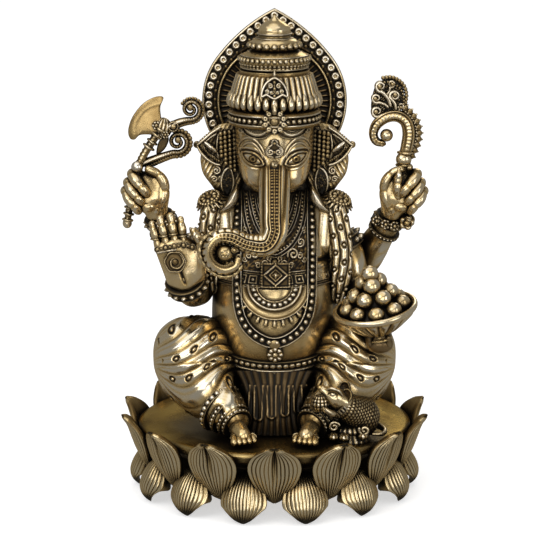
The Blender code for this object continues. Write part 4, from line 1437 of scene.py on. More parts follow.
@dataclass
class Legs(SubAssembly):
    """Both folded legs in their printed cloth, the feet, the anklets and the pleats between."""

    middle: tuple[float, float, float] = (-42.0, -18.0, 70.0)
    pole: tuple[float, float, float] = (1.0, 0.10, 0.06)
    blend: float = 2.4
    fold_count: int = 16
    fold_height: float = 2.1
    pleat_levels: tuple[tuple[float, float, float, float, float], ...] = (
        (38.6, 0, -37, 15, 5), (50, 0, -36, 13, 5), (64, 0, -32, 17, 4), (71, 0, -30, 20, 3))

    def build(self) -> None:
        """Makes the legs, each with its foot and anklets, and the pleats."""
        for name, turn_over in (("right_leg", False), ("left_leg", True)):
            parts = {
                "cloth": (self.cloth(), Metal.SMOOTH), "foot": (join(self.foot()), Metal.SMOOTH),
                "anklets": (join(self.anklets()), Metal.CHASED),
            }
            for part, (shell, metal) in parts.items():
                made = mirrored(shell) if turn_over else shell
                self.piece(f"{name}_{part}", made, metal, [name] if part == "cloth" else [])
        # The pleats between the shins wear the darker copy of the brass, as painted shade.
        self.piece("hip_pleats", self.pleats(), Metal.SHADED, ["dhoti_pleats"])

    def cloth(self) -> Shell:
        """The leg under its cloth.

        Bars for thigh, knee and shin melt together. Folds are soft ridges at even turns round the pole at
        the inner thigh, so they sweep round the knee and meet there; small ringed dots sit along them.
        """
        bars = [Lobe((-20, 0, 68), (-33, -9, 73), 14.5, 19.5),
                Lobe((-43.3, -17, 74.2), (-43.4, -17, 74.2), 21.3, 21.3),
                Lobe((-43, -20, 69), (-36, -29, 60), 17.4, 13.4),
                Lobe((-36, -29, 60), (-26, -40, 52.5), 13.4, 9.6),
                Lobe((-26, -40, 52.5), (-20, -46, 47.5), 9.6, 6.4)]
        points, tilt, turn = blended(self.middle, self.pole, bars, self.blend, 330, 460)
        phase = self.fold_count * (turn + 0.35 * np.sin(2.2 * tilt) + 0.14 * np.sin(3 * turn))
        wave = np.abs(np.sin(phase / 2)) ** 0.62
        second = np.abs(np.sin(phase + 0.9)) ** 0.8
        reach = (step(0.10, 0.45, tilt) * (1 - 0.95 * step(2.2, 2.95, tilt))
                 * (0.72 + 0.28 * np.sin(2.3 * turn + 1.7 * tilt)))
        along = 21.0 * tilt
        ridge = nearest(phase / 2 - math.pi / 2, math.pi) / math.pi
        index = np.round((phase / 2 - math.pi / 2) / math.pi)
        across = ridge * TURN / self.fold_count * 21.0 * np.sin(tilt)
        beside = nearest(along + 4.3 * index, 9.4)
        around = np.arctan2(across, beside)
        away = np.hypot(beside, across) * (1 + 0.13 * around / math.pi)
        printed = step(0.40, 0.6, tilt) * (1 - step(2.35, 2.5, tilt)) * (np.mod(index, 2) == 0)
        print_height = (0.30 * bell(away, 0.5) - 0.75 * bell(away - 1.45, 0.42)) * printed
        height = self.fold_height * (wave + 0.22 * second) * reach + print_height - 1.1
        moved = points + grid_normals(points) * height[..., None]
        moved[..., 2] = np.maximum(moved[..., 2], 39.4)
        # The printed dots are dark print; painted shade darkens the inner thigh, where the leg meets the
        # body, and the leg's low part near the deck.
        dark = 0.95 * bell(away - 1.45, 0.46) * printed + 0.45 * (1 - step(0.25, 0.6, tilt)) + 0.35 * (
            1 - step(45, 60, moved[..., 2]))
        patina = np.clip(recess(height, 5, 0.85, 0.08) + dark, 0, 1)
        return grid(moved, patina)

    def foot(self) -> list[Shell]:
        """The foot with five toes, each with a nail and a ring."""
        made = [tube(spline([(-22, -43, 47.0), (-20, -47.5, 45.6), (-18, -53, 44.2), (-16.2, -58, 42.6)], 40),
                     np.linspace(6.0, 5.0, 40), 28, (1, 0, 0), 0.86, patina=0.15)]
        for index in range(5):
            across = (index - 2) * 2.3
            root = np.array([-16.4 + across, -57.2 + 0.3 * abs(index - 2), 43.0 + 0.12 * index])
            tip = root + [0.9 + 0.12 * across, -6.4 + 0.5 * index, -2.0]
            thick = 1.72 - 0.1 * index
            made.append(tapered([root, (root + tip) / 2 + [0, 0, 0.5], tip], [thick, thick, 1.1 * thick],
                                20, 12, (1, 0, 0), 0.15))
            made.append(oval(tip + [0, -0.6, 0.9], (0.75, 0.5, 0.55), 8, 12, 0.05))
            middle = root * 0.55 + tip * 0.45 + [0, 0, 0.3]
            made.append(tube(ring(middle + 1.8 * np.array(
                [(1, 0, 0), (0, 0.2, 1), (-1, 0, 0), (0, -0.2, -1)]), 20), 0.32, 6, (0, 1, 0), loop=True,
                             patina=0.1))
        return made

    def anklets(self) -> list[Shell]:
        """Three strings of beads round the ankle and the beaded hem above them."""
        leg = Limb([(-31, -35, 54.2, 12.6), (-26, -40, 51.2, 10.3), (-21.5, -44.6, 48, 7.8),
                    (-18.6, -48.5, 46, 6.4)], (1, 0, 0))
        made = []
        for share, half, pitch in ((0.22, 1.9, 3.4), (0.50, 1.5, 2.5), (0.72, 1.3, 2.2), (0.90, 1.2, 2.1)):
            made.append(leg.hoop(share, 0.9, half, lambda s, w, p=pitch, h=half: 0.3
                                 + 0.55 * rims(w, 0.85, 0.14) + dome(np.hypot(nearest(s, p) * 0.9, w * h),
                0.40 * p), 260, 14))
        return made

    def pleats(self) -> Shell:
        """The gathered cloth between the shins: folds narrow towards the waist, some end in a round U."""
        form = StackedForm(self.pleat_levels)
        z = np.linspace(38.6, 71, 130)[:, None]
        turn = np.linspace(0, TURN, 420, endpoint=False)[None]
        points = form.around(turn, z)
        x = points[..., 0]
        spread = x * (1 + 0.25 * np.sin((z - 38) / 9.0))
        folds = 1.1 * np.abs(np.sin(math.pi * spread / 3.6)) ** 0.7
        u_edge = np.hypot(nearest(x + 1.5, 6.6), np.minimum(z - 50 - 1.2 * np.round((x + 1.5) / 6.6), 0))
        height = folds + 0.9 * bell(u_edge - 2.0, 0.45) * (z < 64) + 0 * z
        return raised(points, height, False, 4, 0.6, 0.55)


# Head ---------------------------------------------------------------------------------------------


@dataclass
class Head(SubAssembly):
    """The elephant head: face, eyes, brows, forehead ornament, trunk with the sweet in its curl, and ears."""

    levels: tuple[tuple[float, float, float, float, float], ...] = ((150, 0, 8, 8, 8), (160, 0, 6, 9, 10),
        (163, 0, -3, 12, 15), (170, 0, -3, 17.5, 18.5), (180, 0, -2, 19.8, 19.8), (192, 0, -1, 20.4, 20.6),
        (202, 0, 0, 20.2, 20.2), (210, 0, 0, 15, 15))
    eye: tuple[float, float] = (11.4, 181.0)
    eye_half_width: float = 5.7
    eye_half_height: float = 2.7
    eye_slant: float = 25.0
    trunk_line: tuple[tuple[float, float, float, float], ...] = ((0, -8, 184, 5.0), (0, -13.6, 177, 7.2),
        (0, -21.6, 170.5, 7.3), (0, -29.8, 163, 7.1), (0, -36, 154, 6.7), (-0.5, -40, 146, 6.2),
        (-5, -43, 140.6, 5.6), (-14, -44, 141.6, 5), (-22, -45, 145.4, 4.4), (-29, -45, 145, 4),
        (-33.4, -45, 139, 3.8), (-32, -45, 132, 3.5), (-26, -45, 128.2, 3.1), (-20.4, -45, 130, 2.6),
        (-18.8, -45, 134, 2.0))
    sweet: tuple[float, float, float] = (-25.4, -45.6, 137.0)
    ear_outline: tuple[tuple[float, float], ...] = ((17, 196.5), (24, 196.5), (30, 195), (36, 189.5),
        (41.2, 184.8), (39.2, 180.5), (39.4, 176), (38, 169), (33.5, 162.5), (29.4, 156.5), (27.2, 152.5),
        (22, 155), (17, 163), (15.5, 178))

    def __post_init__(self) -> None:
        """Lays out the forms that the ornaments follow."""
        self.form = StackedForm(self.levels)
        self.trunk_form = Limb(self.trunk_line, (0, 1, 0), 420)

    def build(self) -> None:
        """Makes the face, the trunk and the ears."""
        self.piece("face", self.face(), Metal.SMOOTH, ["head"])
        self.piece("face_lines", both(self.face_lines()), Metal.SMOOTH)
        # The nape wears the darker copy of the brass and heavy patina values, as painted shade under the back
        # of the head.
        self.piece("nape", oval((0, 14, 158), (26, 8, 13), 60, 120, 0.7,
                                lambda tilt, turn: 0.5 * np.abs(np.cos(20 * turn))), Metal.SHADED)
        self.piece("forehead_ornament", self.forehead(), Metal.CHASED)
        self.piece("trunk_skin", self.trunk(), Metal.SMOOTH, ["trunk"])
        self.piece("trunk_frill", self.frill(), Metal.CHASED)
        self.piece("trunk_sweet_rosette", self.sweet_ball(), Metal.SMOOTH, ["trunk_sweet"])
        ear, dressing = self.ear(), join(self.ear_dressing())
        self.piece("left_ear_skin", ear, Metal.SMOOTH, ["left_ear"])
        self.piece("right_ear_skin", mirrored(ear), Metal.SMOOTH, ["right_ear"])
        self.piece("left_ear_dressing", dressing, Metal.CHASED)
        self.piece("right_ear_dressing", mirrored(dressing), Metal.CHASED)

    def lens(self, x: Array, z: Array) -> tuple[Array, Array, Array]:
        """The eye's own axes and the signed distance to its almond, where two equal circles cross.

        Args:
            x: sideways places on the face.
            z: heights.

        Returns:
            The distance, negative inside, and the places along and across the eye.
        """
        slant = math.radians(self.eye_slant)
        dx, dz = np.abs(x) - self.eye[0], z - self.eye[1]
        u, v = dx * math.cos(slant) + dz * math.sin(slant), -dx * math.sin(slant) + dz * math.cos(slant)
        a, b = self.eye_half_width, self.eye_half_height
        radius = (a * a + b * b) / (2 * b)
        offset = radius - b
        return np.maximum(np.hypot(u, v + offset), np.hypot(u, v - offset)) - radius, u, v

    def face(self) -> Shell:
        """The head's skin: eyes, full cheeks, the mouth's line, and hair drawn back behind the ears."""
        z = np.linspace(self.levels[0][0], self.levels[-1][0], 400)[:, None]
        turn = np.linspace(0, TURN, 660, endpoint=False)[None]
        points = self.form.around(turn, z)
        x, side = points[..., 0], -np.sin(turn) + 0 * z
        front = step(0.15, 0.45, side)
        away, u, v = self.lens(x, z)
        lid = 0.75 * bell(away - 0.42, 0.42) - 0.4 * bell(away + 0.42, 0.24) - 0.35 * bell(away - 1.35, 0.4)
        ball = 0.9 * np.sqrt(np.clip(-away / self.eye_half_height, 0, 1))
        iris = np.hypot(u + 0.4, v - 0.1)
        gaze = ((-0.30 * bell(iris - 1.75, 0.26) - 0.55 * bell(iris, 0.75) + 0.5 * bell(iris, 0.3))
                * (away < -0.2))
        fold = (0.45 * bell(away - 2.5, 0.5) * step(-1, 1.0, v)
                + 0.25 * bell(away - 2.3, 0.4) * step(-0.5, 1.5, -v))
        cheek = 1.5 * bell(np.hypot((np.abs(x) - 12.5) / 5.5, (z - 168.8) / 5.0), 1.0)
        hollow = -0.9 * bell(np.hypot((np.abs(x) - 9.0) / 3.2, (z - 175.5) / 5), 1.0)
        mouth = -0.7 * bell(z - 163.6 - 0.02 * (np.abs(x) - 9) ** 2, 0.5) * step(5, 7, np.abs(x))
        hair = (0.45 * np.abs(np.sin(34 * turn + 1.5 * np.sin(z / 6))) * step(-0.1, 0.25, -side)
                * step(160, 166, z))
        height = (lid + ball + gaze + fold + cheek + hollow + mouth) * front + hair
        # Chased lines of the lids, brows and iris, and a dark line beside the trunk that is patina and
        # painted shade where it meets the face; the pupil's raised middle is left bright, as polish and as a
        # painted highlight.
        lines = (1.2 * bell(away + 0.42, 0.28) + 1.1 * bell(away - 1.3, 0.32) * step(-1.5, 0.5, v)
                 + 1.0 * bell(iris - 1.75, 0.26) * (away < -0.3) + 1.2 * bell(iris, 0.8) * (away < -0.3)
                 - 0.9 * bell(iris, 0.28))
        lines = (lines + 0.8 * bell(np.abs(x) - 7.2 - 0.05 * (z - 172), 0.9) * (1 - step(174, 178, z))
                 * step(160, 166, z))
        # Painted shade low on the head, under the mouth where it meets the neck; the back of the head is made
        # darker too.
        dark = np.clip(lines, 0, 1) * front + 0.5 * (1 - step(161, 164.5, z)) + 0.4 * step(-0.1, 0.3, -side)
        patina = np.clip(recess(height, 5, 0.7, 0.08) + dark, 0, 1)
        return grid(points + grid_normals(points) * height[..., None], patina)

    def face_lines(self) -> list[Shell]:
        """The raised lines of one side: two brows, and the rim of the cheek."""
        made = []
        for places, thick in (([(18.6, 186.4), (17.2, 189.6), (14.6, 191.7), (11.6, 191.9), (8.6, 190.0),
                                (6.2, 186.6), (4.9, 183.2)], 0.85),
                              ([(17.6, 184.3), (16.2, 187.2), (13.8, 189.2), (11.3, 189.3), (8.8, 187.6),
                                (6.9, 184.6), (5.9, 181.6)], 0.7)):
            path, normals = self.form.laid(places, 90, 0.15)
            shape = np.sin(np.linspace(0.15, math.pi - 0.15, 90)) ** 0.5
            made.append(tube(path, thick * shape, 12, normals, 0.9, patina=0.04))
        return made

    def forehead(self) -> list[Shell]:
        """Two beaded crescents under the crown, a leaf between them, and the mark above the trunk."""
        one_side = []
        for places, thick in (
            ([(16.6, 199.6), (14.4, 196.6), (11.4, 194.4), (8.4, 193.8), (5.4, 194.8), (2.9, 197.4)], 0.95),
            ([(14.9, 199.8), (13.0, 197.6), (11.0, 196.2), (8.5, 195.8), (6.2, 196.6), (4.4, 198.6)], 0.5),
        ):
            path, normals = self.form.laid(places, 80, 0.6)
            one_side.append(tube(path, thick, 12, normals, 1.0, patina=0.06))
        path, normals = self.form.laid([(15.7, 199.6), (13.7, 197.2), (11.2, 195.3), (8.5, 194.8),
            (5.8, 195.7), (3.7, 198)], 18, 0.8)
        one_side.append(beads(path, 0.55, 0.1, 1.0, normals))
        path, normals = self.form.laid([(17.8, 197.6), (15.6, 194.2), (12.6, 192.6), (8.4, 191.9),
            (4.4, 192.8), (1.6, 195.2)], 26, 0.5)
        one_side.append(beads(path, 0.5, 0.1, 1.0, normals))
        for centre, start, first, turns in (((2.1, 185.3), 1.9, 75, -1.4), ((16.8, 195.4), 1.3, 200, 1.1)):
            places = curl(centre, start, 0.45, first, turns)
            path, normals = self.form.laid(places, 50, 0.65)
            one_side.append(tube(path, np.linspace(0.42, 0.6, 50), 8, normals, 1.0, patina=0.06))
        path, normals = self.form.laid([(0.2, 191.6), (1.3, 190.6), (1.2, 189.0), (3.4, 187.4),
            (4.3, 185.2), (3.2, 183.2), (0.6, 182.6)], 60, 0.4)
        one_side.append(tube(path, 0.42, 8, normals, 1.0, patina=0.06))
        made = both(one_side)
        x, z = np.meshgrid(np.linspace(-1, 1, 40), np.linspace(-1, 1, 46))
        made.append(sheet_patch(self.form.front, x * (3.9 - 1.6 * np.clip(z, 0, 1)), 186.9 + 4.6 * z,
                                0.15 + 0 * x, 0.4, ground=0.55))
        place, normal = self.form.front(np.array(0.0), np.array(196.6))
        made.append(disc(place + 0.8 * normal, normal, 2.0, lambda r, t: 1.2 * (1 - r**2) ** 0.5, 12, 28,
                         lambda r, t: 0.55 + 0.45 * np.abs(np.sin(t)), squeeze=1.3))
        for height, size in ((185.2, 0.75), (189.8, 0.85), (181.2, 0.7), (179.6, 0.55), (178.2, 0.45)):
            place, normal = self.form.front(np.array(0.0), np.array(height))
            made.append(beads(place + (0.9 if height > 182 else 2.2) * normal, size, 0.02))
        return made

    def trunk(self) -> Shell:
        """The trunk: a smooth bar with round side ridges, a chased strip along its front, and wrinkles.

        Along the front the strip is a pair of dotted rows between rims, whose width shrinks with the
        trunk; the ridges are cosines of the angle; past the bend rings are cut across the back.
        """
        line = self.trunk_form.line
        run = lengths(line)

        def relief(s: Array, angle: Array) -> Array:
            """The relief from distance and angle, with the front at three quarters of a turn."""
            radius = np.interp(s, run, line[:, 3])
            front = nearest(angle - 0.75 * TURN, TURN) * radius
            half = np.interp(s, [0, 12, 60, 90, 140], [2.2, 3.0, 2.5, 1.8, 1.1])
            w = front / half
            begun = step(17, 18.5, s) * (1 - step(run[-1] - 34, run[-1] - 26, s))
            strip = 0.5 * rims(w, 0.95, 0.12) - 0.8 * bell(np.abs(w) - 1.3, 0.14) - 0.5 * (np.abs(w) < 0.84)
            dots = 0.75 * bell(np.hypot(nearest(s, 1.75), front - 0.5 * half * np.sign(front)), 0.46)
            dots = dots + 0.75 * bell(w, 0.13)
            knob = 2.0 * np.sqrt(np.clip(1 - ((s - 18.5) / 3.2) ** 2 - (front / 2.5) ** 2, 0, 1))
            ridges = 0.7 * np.cos(2 * (angle - 0.25 * TURN)) * (1 - step(60, 80, s)) * step(6, 20, s)
            side = step(0.9, 1.6, np.abs(w))
            rings = -0.4 * bell(nearest(s + 0.6 * np.sin(3 * angle), 2.9), 0.4) * side * step(58, 72, s)
            rings = rings + 0.35 * np.cos(7 * angle + 0.05 * s) * side * (1 - step(50, 70, s))
            return (strip + dots * (s > 22.5)) * begun + knob - ridges + rings

        return self.trunk_form.skin(96, relief, 1.0, 5, 0.45, 0.12, FINE_CHASING)

    def frill(self) -> list[Shell]:
        """The scalloped skin round the outside of the curl, and the nostril's rolled rim."""
        path = spline([(-24, -45, 146.5), (-31, -45.2, 147.6), (-37.4, -45.2, 142.5), (-37.8, -45.2, 135),
                       (-34, -45.2, 128.6), (-27.4, -45.2, 124.6), (-20.6, -45.2, 125.6),
                       (-16.8, -45.2, 130)], 260)
        wave = 0.75 + 0.55 * np.abs(np.sin(np.linspace(0, 14 * math.pi, 260)))
        made = [tube(path, wave, 12, (0, 1, 0), 1.3, patina=0.2)]
        inner = spline([(-30.6, -48.4, 142.0), (-32.4, -48.6, 137.5), (-30.4, -48.4, 132.6),
                        (-26, -48.2, 130.4), (-21.6, -47.8, 131.8)], 20)
        made.append(beads(inner, 0.95, 0.12))
        made.append(tube(ring([(-19.6, -46.6, 135.2), (-18.2, -47.2, 136.4), (-17.4, -46.4, 134.8),
                               (-18.4, -45.8, 133.6)], 30), 0.5, 8, (0, 1, 0), loop=True, patina=0.1))
        return made

    def sweet_ball(self) -> list[Shell]:
        """The round sweet held in the curl, with a chased star on top and a collar of small beads."""
        centre = np.array(self.sweet)
        ball = oval(centre, (4.5, 4.5, 4.5), 60, 80, 0.1)
        star = disc(centre + [0, -4.0, 0], (0, -1, 0), 2.2, flower(6, 0.4, 0.6), 16, 60, scalloped(6), 1.4)
        turn = np.linspace(0, TURN, 16, endpoint=False)
        around = centre + np.stack([5.0 * np.cos(turn), 0 * turn + 0.4, 5.0 * np.sin(turn)], axis=-1)
        small = disc(centre + [4.8, -2.6, 1.8], (0.3, -1, 0.2), 1.7,
                     lambda r, t: 1.3 * (1 - r**2) ** 0.5 - 0.5 * bell(r - 0.6, 0.15), 12, 28)
        return [ball, star, beads(around, 0.8, 0.15), small]

    def ear(self) -> Shell:
        """The left ear's skin: a rimmed sail with soft ripples, and veins behind."""
        outline = ring([(x, 0.0, z) for x, z in self.ear_outline], 300)[:, [0, 2]]

        def front(x: Array, z: Array) -> Array:
            """Ripples that run along the lower edge and a hollow in the middle."""
            fall = np.hypot((x - 27) / 12, (z - 178) / 16)
            return (1.2 * step(0.6, 1.05, fall) - 0.8 * (1 - fall).clip(0, 1)
                    + 0.22 * np.sin(2.6 * (x + 0.55 * z)))

        def back(x: Array, z: Array) -> Array:
            """Veins that fan out from the head."""
            fan = np.arctan2(z - 178, x - 10)
            return 0.45 * np.abs(np.cos(7 * fan)) - 0.5 * np.hypot((x - 27) / 12, (z - 178) / 16).clip(0, 1)

        return plate(outline, (26.5, 177), 4.6, 9.4, front, back, 90, 0.10, 6, 0.9, 5.0)

    def ear_dressing(self) -> list[Shell]:
        """The left ear's hair strands, curls, three-cornered jewel, dark leaf and hanging flap."""
        made = []
        for column, (x0, x1) in enumerate(((21.0, 20.6), (23.5, 22.9), (26.0, 25.4), (28.3, 27.6))):
            z = np.arange(192.5 - 0.6 * column, 171.5 + 1.8 * column, -2.3)
            x = x0 + (x1 - x0) * (191 - z) / 20
            made.append(beads(np.column_stack([x, 0 * z + 1.7 + 0.3 * column, z]), 1.3, 0.06))
        for corners, thick in (([(28.6, 194.2), (33.2, 191.2), (37.4, 187.6), (41.0, 184.6)], 0.85),
                               ([(41.0, 184.6), (38.6, 180.6), (35.4, 177.2), (31.4, 174.8), (28.8, 174.2)],
                                0.8), ([(30.6, 190.8), (34.0, 188.6), (37.4, 185.4)], 0.45),
                               ([(37.4, 184.2), (35.2, 180.6), (31.6, 178.2)], 0.45),
                               ([(29.6, 190.6), (30.4, 184), (29.6, 178)], 0.6)):
            made.append(tapered([(x, 3.1, z) for x, z in corners], [0.7 * thick, thick, thick, 0.8 * thick],
                                46, 10, patina=0.06))
        made.append(tapered([(30.8, 2.6, 181.6), (34.0, 2.2, 184.2), (36.6, 2.7, 186.2)], [0.9, 1.4, 0.8],
                            30, 10, patina=0.0))
        steps = spline([(29.4, 3.0, 176.4), (33.6, 3.0, 179.0), (36.8, 3.0, 182.6)], 9)
        made.append(beads(steps, 0.65, 0.08))
        steps = spline([(31.0, 3.0, 193.4), (35.4, 3.0, 190.6), (39.0, 3.0, 187.4)], 8)
        made.append(beads(steps, 0.55, 0.08))
        made.append(beads([(41.0, 5.4, 184.7)], 2.0, 0.05))
        for centre, start, first, turns, thick in (
            ((30.6, 171.0), 2.2, 90, 1.4, 0.55), ((31.8, 166.4), 1.8, 20, 1.3, 0.5),
            ((28.4, 166.6), 1.4, 120, -1.2, 0.45), ((33.4, 176.0), 1.2, 60, 1.1, 0.4),
        ):
            places = curl(centre, start, 0.4, first, turns, 44)
            made.append(tube(np.column_stack([places[:, 0], 0 * places[:, 0] + 3.7, places[:, 1]]), thick,
                             8, patina=0.08))
        leaf = ring([(23.4, 0, 172.4), (26.6, 0, 170.6), (28.2, 0, 165), (27.0, 0, 159), (25.0, 0, 156.4),
                     (22.6, 0, 160), (21.6, 0, 166)], 120)[:, [0, 2]]
        made.append(plate(leaf, (25, 164.6), 2.6, 6.5, lambda x, z: 0.7 * whorls(x, z, 2.2) * 0.4, rows=20,
                          ground=0.92))
        rim = np.column_stack([leaf[:, 0], 0 * leaf[:, 0] + 2.9, leaf[:, 1]])
        made.append(tube(rim, 0.62, 10, loop=True, patina=0.05))
        flap = ring([(19.2, 0, 165.4), (22.6, 0, 160.6), (26.6, 0, 154.4), (30.4, 0, 149.6),
                     (27.0, 0, 149.9), (22.4, 0, 152.6), (19.0, 0, 158.0)], 140)[:, [0, 2]]
        made.append(plate(flap, (23.0, 156.4), -9.0, -1.0,
                          lambda x, z: 0.9 - 0.8 * bell((x - 19) * 0.75 + (z - 165) * 0.62, 0.7), rows=26,
                          ground=0.05, sharp=3))
        return made


# Crown and halo -----------------------------------------------------------------------------------


@dataclass
class Crown(SubAssembly):
    """The tiered crown, turned from its section, with bead rows, knobs, flutes, rosette and medallion."""

    def build(self) -> None:
        """Makes the turned body and what is laid on it."""
        self.piece("crown_body", self.body(), Metal.SMOOTH, ["crown"])
        self.piece("crown_beads", self.bead_rows(), Metal.CHASED)
        self.piece("crown_knobs", self.knobs(), Metal.SMOOTH)
        self.piece("crown_rosette", self.rosette(), Metal.CHASED)
        self.piece("crown_medallion", self.medallion(), Metal.CHASED)

    def body(self) -> list[Shell]:
        """The tiers: a headband, the fluted dome, a ribbed band, a smooth dome and the pointed finial."""
        head_band = lathe([(0.1, 196.6), (20, 196.6), (23.4, 196.8), (24.3, 197.8), (24.1, 198.9),
                           (23.1, 199.3), (23.1, 202.5), (24.1, 203), (24.2, 204.1), (23.0, 205.2),
                           (21.0, 206), (0.1, 206)], 130, 300, ground=0.35)
        run_low = 3.0

        def fluted(s: Array, turn: Array) -> Array:
            """Upright ribs: the root of a cosine of the turn."""
            return 1.35 * np.abs(np.cos(20 * turn)) ** 0.8 * step(1, 3, s) * (1 - step(18.4, 19.6, s)) - 0.5

        flutes = lathe([(21.0, 205.4), (22.2, 208), (22.6, 212), (21.9, 215), (20.4, 220), (18.8, 224.4),
                        (17.2, 226.4), (0.1, 226.8)], 150, 480, fluted, True, reach=4, depth=0.6)

        def short_ribs(s: Array, turn: Array) -> Array:
            """Short ribs on the band's lower half."""
            return 0.8 * np.abs(np.cos(24 * turn)) ** 0.7 * bell(s - 15.6 - run_low, 1.5)

        band_tier = lathe([(0.1, 226), (16.8, 226), (17.4, 227.2), (16.9, 228.2), (17.9, 229),
                           (18.3, 230.6), (17.9, 232.6), (16.6, 233.6), (14.0, 235.1), (11.2, 236),
                           (0.1, 236)], 130, 340, short_ribs, depth=0.4, ground=0.15)
        top = lathe([(0.1, 235.2), (11.2, 235.2), (12.8, 236.6), (13.1, 238.6), (12.2, 240.4),
                     (10.8, 241.5), (9.0, 242.2), (8.3, 243.2), (8.9, 243.9), (8.9, 244.7), (8.2, 245.3),
                     (8.6, 246.2), (7.6, 248.2), (5.2, 249.9), (2.8, 251.2), (1.2, 252.6), (0.1, 253.7)],
                    170, 200, ground=0.1)
        return [head_band, flutes, band_tier, top]

    @staticmethod
    def circle(radius: float, z: float, count: int, size: float) -> Shell:
        """A level ring of beads."""
        turn = np.arange(count) * TURN / count - TURN / 4
        normals = np.stack([np.cos(turn), np.sin(turn), 0 * turn], axis=-1)
        return beads(radius * normals + [0, 0, z], size, 0.06, 1.0, normals)

    def bead_rows(self) -> list[Shell]:
        """All bead rows, and the wires beside them."""
        made = [self.circle(23.4, 200.9, 44, 1.4), self.circle(12.9, 238.3, 20, 1.8),
                self.circle(18.2, 231.5, 38, 1.35), self.circle(17.6, 228.9, 50, 0.95)]
        turn = np.linspace(0, TURN, 160, endpoint=False)
        for radius, z, thick in ((23.9, 198.6, 0.5), (24.0, 203.4, 0.5), (17.5, 226.9, 0.55),
                                 (17.4, 233.1, 0.4), (12.0, 236.4, 0.4), (9.6, 241.9, 0.45),
                                 (9.0, 244.3, 0.4)):
            path = np.stack([radius * np.cos(turn), radius * np.sin(turn), 0 * turn + z], axis=-1)
            made.append(tube(path, thick, 8, (0, 0, 1), loop=True, patina=0.05))
        return made

    def knobs(self) -> list[Shell]:
        """The row of upright pods round the dome's foot: each a bar that swells at its lower end."""
        pod = tube(spline([(0, -22.4, 213.6), (0, -23.2, 211.2), (0, -23.4, 208.6), (0, -22.6, 206.5)], 14),
                   np.array([0.9, 1.2, 1.4, 1.56, 1.7, 1.8, 1.88, 1.94, 1.96, 1.94, 1.84, 1.66, 1.35, 0.9]),
                   12, (1, 0, 0), patina=0.02)
        return [Shell(turned_about(pod.points, "z", 360.0 * index / 34), pod.quads, pod.triangles, pod.patina)
                for index in range(34)]

    def rosette(self) -> list[Shell]:
        """The big front flower: a ringed centre, and ten balls as petals on stems."""
        made = [disc((0, -23.6, 201.4), (0, -1, 0), 3.1,
                     lambda r, t: 1.6 * (1 - (r / 0.72).clip(0, 1) ** 2) ** 0.5 + 0.9 * bell(r - 0.9, 0.08),
                     24, 48)]
        turn = np.radians(np.arange(0, 360, 36) + 90)
        petals = np.stack([4.9 * np.cos(turn), 0 * turn - 24.2, 201.4 + 4.9 * np.sin(turn)], axis=-1)
        for place, angle in zip(petals, turn):
            made.append(disc(place, (0, -1, 0), 1.55, lambda r, t: 1.0 * (1 - r**2) ** 0.5
                             - 0.55 * bell(r, 0.3), 10, 24, sunk=2.4))
            made.append(beads([place + [1.4 * math.cos(angle), -0.3, 1.4 * math.sin(angle)]], 0.75, 0.05))
        made.append(disc((0, -23.0, 201.4), (0, -1, 0), 6.4, lambda r, t: 0.3 + 0 * r, 10, 40,
                         scalloped(10, 0.2), 2.0, 0.85))
        made.append(tube(spline([(0, -24.6, 207), (0, -24.9, 209.4), (0, -24.2, 211.8)], 20),
                         np.linspace(1.5, 0.3, 20), 10, (1, 0, 0), patina=0.1))
        return made

    def medallion(self) -> list[Shell]:
        """The arched plaque on the fluted dome, its scrolls, and the leaf above."""
        lean = math.radians(15)

        def place(x: float, up: float, out: float) -> list[float]:
            """A point on the leaning dome's front."""
            return [x, -22.9 - out + math.tan(lean) * (up - 214.5), up]

        outline = [(-6.6, 214.4), (-6.2, 217.6), (-4.4, 220.8), (-1.8, 223.0), (0, 223.7), (1.8, 223.0),
                   (4.4, 220.8), (6.2, 217.6), (6.6, 214.4), (4.2, 215.3), (2.2, 214.2), (0, 213.3),
                   (-2.2, 214.2), (-4.2, 215.3)]
        edge = ring([place(x, z, 0.9) for x, z in outline], 130)
        flat = ring([(x, 0.0, z) for x, z in outline], 130)[:, [0, 2]]
        ground = plate(flat, (0, 217.6), -22.2, -19.5, rows=16, ground=0.95)
        ground.points[:, 1] += math.tan(lean) * (ground.points[:, 2] - 214.5)
        made = [ground, tube(edge, 0.62, 10, (0, 1, 0), loop=True, patina=0.04)]
        one_side = []
        for centre, start, first, turns in (((2.2, 219.6), 1.3, 40, 1.3), ((3.9, 216.9), 1.2, 300, -1.2),
                ((1.5, 216.3), 0.9, 200, 1.1)):
            places = curl(centre, start, 0.35, first, turns, 40)
            path = np.array([place(x, z, 0.5) for x, z in places])
            one_side.append(tube(path, 0.42, 8, patina=0.05))
            one_side.append(beads(path[-1:], 0.7, 0.02))
        made += both(one_side)
        made.append(beads([place(0, 218.2, 0.5), place(0, 214.6, 0.9), place(0, 221.4, 0.5)], 0.85, 0.02))
        leaf = spline([place(0, 223.6, 0.6), place(0, 225.4, 1.0), place(0, 228.4, 0.6)], 24)
        made.append(tube(leaf, np.interp(np.linspace(0, 1, 24), [0, 0.4, 1], [0.5, 1.5, 0.1]), 12,
                         (1, 0, 0), 0.6, patina=0.05))
        return made


